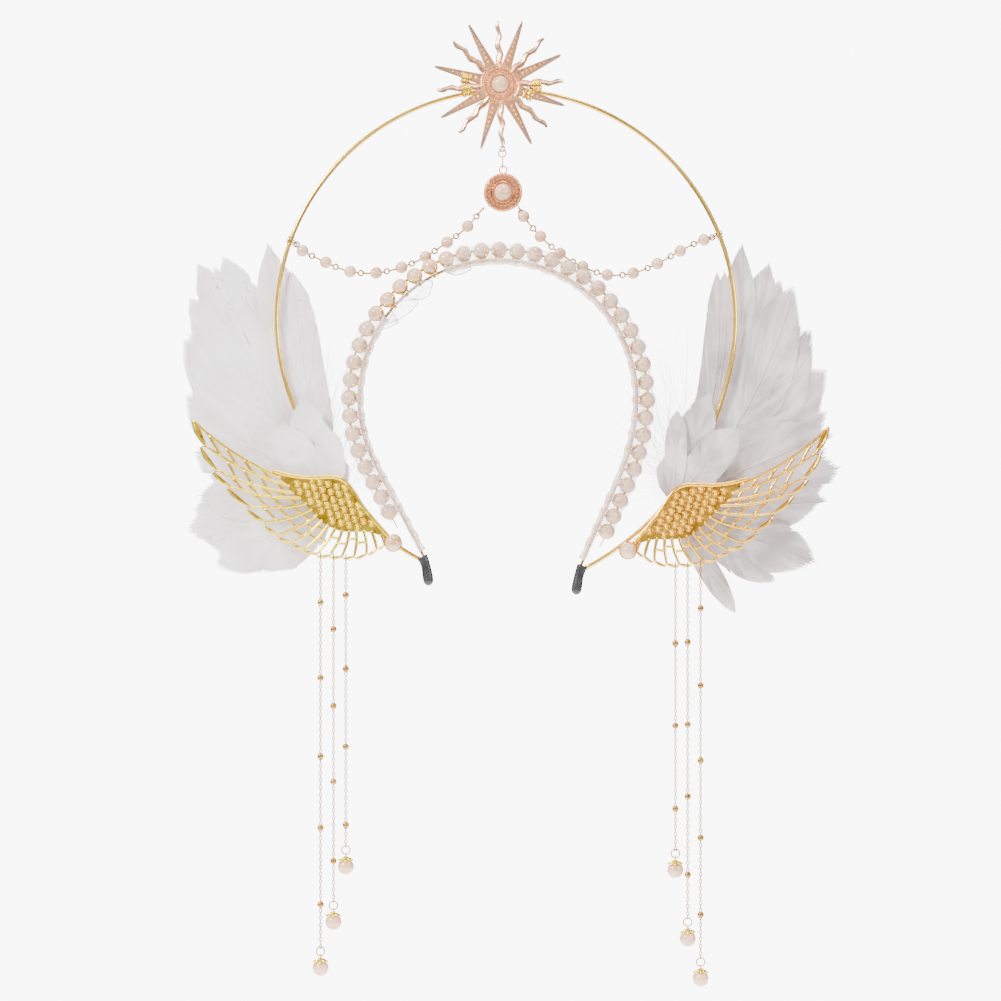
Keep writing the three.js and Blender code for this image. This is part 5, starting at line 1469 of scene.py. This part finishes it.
def add_feather(stock, side, layer, row, style, dice, lift=0.0):
    """One feather: a tapering stem, and barbs in locks on both of its sides."""
    reach, wide, points_out, level, bow = row
    length, width = reach * PLUME_REACH, wide * PLUME_REACH
    if layer == "back" and points_out < PLUMES[side]["filled_to"]:
        width *= PLUMES[side]["wide"]
    facing = -1 if layer == "front" else 1
    near = facing * (HALO_WIRE / 2 + GAP + 0.5 + level * 0.7 + lift)
    pad_x, pad_z = PLUMES[side]["pad"]
    # Upper feathers set off further outwards and sweep back up to where their tips point.
    swept = layer == "back" and points_out < 60 and not style["wave"]
    sweep_back = math.radians(PLUMES[side]["sweep"] if swept else 0)
    angle = math.radians(points_out) + sweep_back
    length, bow = length * math.cos(sweep_back), bow - math.tan(sweep_back)
    curl = facing * dice.uniform(0.4, 2.2) * (0.4 if layer == "front" else 1)
    camber = 1.5 if layer != "front" else 0.5

    def place(along, aside, off):
        x = aside + bow * length * along ** 2
        z = along * length
        depth = near + curl * along ** 2 + facing * camber * (aside / width * 2) ** 2 + off
        turned_x = x * math.cos(angle) + z * math.sin(angle)
        turned_z = -x * math.sin(angle) + z * math.cos(angle)
        upright = [pad_x + SIDES[side] * turned_x, depth + 0 * x, pad_z + turned_z]
        return on_halo(np.stack(upright, axis=-1))

    count = max(12, int(length / style["pitch"]))
    v = np.linspace(0, 1, style["steps"] + 1)[None, :]
    for hand in (-1, 1):
        edge = (np.arange(count) + 0.5 + dice.uniform(-0.2, 0.2, count)) / count
        lock = locks(count, style["grip"], dice)
        lock_count = lock[-1] + 1
        held = np.maximum(np.bincount(lock, minlength=lock_count), 1)
        middle = np.bincount(lock, edge, lock_count) / held
        drift = dice.normal(0, 0.005, lock_count)[lock]
        longer = 1 + dice.normal(0, 0.02, lock_count)[lock] + dice.normal(0, 0.004, count)
        offset = dice.normal(0, 0.16, lock_count)[lock]
        root = np.maximum(0.02, edge * style["root"])
        along = root[:, None] + (edge - root)[:, None] * v ** 1.25
        along = along + ((middle[lock] - edge) * style["pull"] + drift)[:, None] * v ** 3
        aside = hand * width * (vane_half(edge, PLUMES[side]["blunt"]) * longer)[:, None] * v ** 0.94
        off = -facing * offset[:, None] * v ** 2
        if style["wave"]:
            phase = dice.uniform(0, 6.3, (count, 1))
            wild = dice.normal(0, 1, (count, 1))
            along = along + style["wave"] * (0.014 * np.sin(v * 5 + phase) + 0.03 * wild * v ** 1.5)
            aside = aside * (1 + 0.25 * dice.normal(0, 1, (count, 1)))
            off = off + style["wave"] * (1.4 * np.sin(v * 4 + phase * 2) * v)
        centre = place(along, aside, off)
        ahead = unit(np.gradient(centre, axis=1))
        sideways = unit(np.cross(ahead, BACKWARD))
        taper = np.sqrt(np.clip(1.04 - v ** 14, 0, 1))[..., None]
        half = sideways * style["ribbon"] / 2 * taper
        shingle = BACKWARD * 0.05 * facing
        corners = np.stack([centre - half + shingle, centre + half - shingle], axis=2)
        steps = style["steps"] + 1
        base = np.array(grid_faces(steps, 2))
        faces = (base[None] + (np.arange(count) * steps * 2)[:, None, None]).reshape(-1, 4)
        barb = np.arange(count)[:, None, None] + np.array([0, 1])
        across = np.stack(np.broadcast_arrays(barb, v[..., None]), axis=-1)
        stock.add(corners, faces.tolist(), across)
    stem = np.linspace(0, 0.96, 20)
    line = place(stem, 0 * stem, -facing * 0.12 + 0 * stem)
    tube(stock, line, 0.62 if style["wave"] == 0 else 0.3, 6, scales=1 - 0.85 * stem)


# %% Fill out the plumes


def between(first, second, dice):
    """A filler feather between two neighbours, a little shorter and deeper."""
    mean = [(a + b) / 2 for a, b in zip(first, second)]
    mean[0] *= dice.uniform(0.93, 0.99)
    mean[2] += dice.uniform(-2, 2)
    return mean


def dress_plume(side, layer):
    dice = np.random.default_rng(200 + len(side) * 10 + len(layer))
    stock = Stock()
    rows = PLUMES[side][layer]
    for index, row in enumerate(rows):
        add_feather(stock, side, layer, row, STYLES["vane"], dice, 0.3 * (index % 3))
    for first, second in zip(rows, rows[1:]):
        neighbours = abs(first[2] - second[2]) < 40 and second[2] < PLUMES[side]["filled_to"]
        if layer == "back" and neighbours:
            filler = between(first, second, dice)
            add_feather(stock, side, layer, filler, STYLES["vane"], dice, 0.75)
    make(f"plume_{'behind' if layer == 'back' else 'before'}_{side}", stock, VANES[side],
         [f"plume_{layer}_{side}"], closed=False)


for side in SIDES:
    for layer in ("back", "front"):
        dress_plume(side, layer)
    fluff = Stock()
    dice = np.random.default_rng(300 + SIDES[side])
    for row in PLUMES[side]["down"]:
        add_feather(fluff, side, "back", row, STYLES["down"], dice, 0.2)
    make(f"down_{side}", fluff, DOWN, closed=False)

# %% [markdown]
# ## Studio
# The photograph is a plain catalogue shot on white: soft lights on both sides, above and behind,
# in a patchy tent that is dark behind and below, which gives the gold its deep tones.

# %% Floor, lights and camera
FLOOR_Z = -0.45


def pale_floor():
    mesh = bpy.data.meshes.new("floor")
    corners = circle([0, 0, FLOOR_Z / MM], 600, RIGHTWARD, BACKWARD, 64) * MM
    mesh.from_pydata(corners.tolist(), [], [list(range(64))])
    paint = Finish("pale studio floor", Roughness=0.9, Emission_Strength=2.5)
    paint.join(paint.ramp(paint.noise(3), [(0.3, (0.97, 0.97, 0.97)), (0.7, (1.0, 1.0, 1.0))]),
               paint.shader.inputs["Base Color"])
    paint.shader.inputs["Emission Color"].default_value = (1, 1, 1, 1)
    mesh.materials.append(paint.material)
    floor = bpy.data.objects.new("floor", mesh)
    bpy.context.scene.collection.objects.link(floor)


# The tent is open towards the upper left front; its tones run from behind to that opening.
TENT_OPENING = (-0.25, -0.65, 0.72)
TENT_TONES = [(0.34, 0.06), (0.6, 0.5), (0.82, 1.0)]


def studio_world():
    """White where the camera sees it, and a patchy light tent, dark behind, for reflections."""
    world = bpy.data.worlds.new("studio")
    bpy.context.scene.world = world
    world.use_nodes = True
    tree = world.node_tree
    add, join = tree.nodes.new, tree.links.new
    tent = tree.nodes["Background"]
    seen = add("ShaderNodeBackground")
    seen.inputs["Color"].default_value = (1, 1, 1, 1)
    seen.inputs["Strength"].default_value = 9.0
    direction = add("ShaderNodeTexCoord")
    facing = add("ShaderNodeVectorMath")
    facing.operation = "DOT_PRODUCT"
    facing.inputs[1].default_value = TENT_OPENING
    ramp = add("ShaderNodeValToRGB")
    stages = ramp.color_ramp.elements
    stages.new(0.6)
    for stage, (where, grey) in zip(stages, TENT_TONES):
        stage.position, stage.color = where, (grey, grey, grey, 1)
    patches = add("ShaderNodeTexNoise")
    patches.inputs["Scale"].default_value = 4.5
    patches.inputs["Detail"].default_value = 1.0
    uneven = add("ShaderNodeMapRange")
    for label, value in (("From Min", 0.42), ("From Max", 0.58), ("To Min", 0.05), ("To Max", 2.2)):
        uneven.inputs[label].default_value = value
    path = add("ShaderNodeLightPath")
    mix = add("ShaderNodeMixShader")
    shift = add("ShaderNodeMapRange")
    shift.inputs["From Min"].default_value = -1
    join(direction.outputs["Generated"], facing.inputs[0])
    join(direction.outputs["Generated"], patches.inputs["Vector"])
    join(facing.outputs["Value"], shift.inputs["Value"])
    join(shift.outputs["Result"], ramp.inputs["Fac"])
    join(patches.outputs["Fac"], uneven.inputs["Value"])
    join(uneven.outputs["Result"], tent.inputs["Strength"])
    join(ramp.outputs["Color"], tent.inputs["Color"])
    join(path.outputs["Is Camera Ray"], mix.inputs["Fac"])
    join(tent.outputs["Background"], mix.inputs[1])
    join(seen.outputs["Background"], mix.inputs[2])
    join(mix.outputs["Shader"], tree.nodes["World Output"].inputs["Surface"])


def soft_light(name, place, aim, size, power):
    lamp = bpy.data.lights.new(name, "AREA")
    lamp.shape = "DISK"
    lamp.size = size
    lamp.energy = power
    obj = bpy.data.objects.new(name, lamp)
    ahead = unit(np.array(aim) - np.array(place))
    aside = unit(np.cross(ahead, UPWARD))
    upright = np.cross(aside, ahead)
    turn = Matrix(np.stack([aside, upright, -ahead], axis=1).tolist()).to_4x4()
    turn.translation = place
    obj.matrix_world = turn
    bpy.context.scene.collection.objects.link(obj)


pale_floor()
studio_world()
AIM = (0, 0, -0.1)
soft_light("key from the left", (-1.2, -1.0, 0.9), AIM, 0.5, 62)
soft_light("fill from the right", (1.4, -0.9, 0.2), AIM, 0.5, 15)
soft_light("above", (0.1, -0.3, 1.5), AIM, 0.8, 26)
soft_light("behind", (-0.5, 1.4, 0.6), AIM, 0.9, 24)

# The photograph's frame is a square 500.5 mm wide, centred 1.25 mm right and 117.75 mm below the
# head seat, seen from far off through a long lens.
FRAME_WIDTH = 0.5005
LENS = 150.0
SENSOR = 36.0
camera = bpy.data.cameras.new("camera")
camera.lens = LENS
camera.sensor_width = SENSOR
viewer = bpy.data.objects.new("camera", camera)
viewer.location = (0.00125, -FRAME_WIDTH * LENS / SENSOR, -0.11775)
viewer.rotation_euler = (math.pi / 2, 0, 0)
bpy.context.scene.collection.objects.link(viewer)
bpy.context.scene.camera = viewer
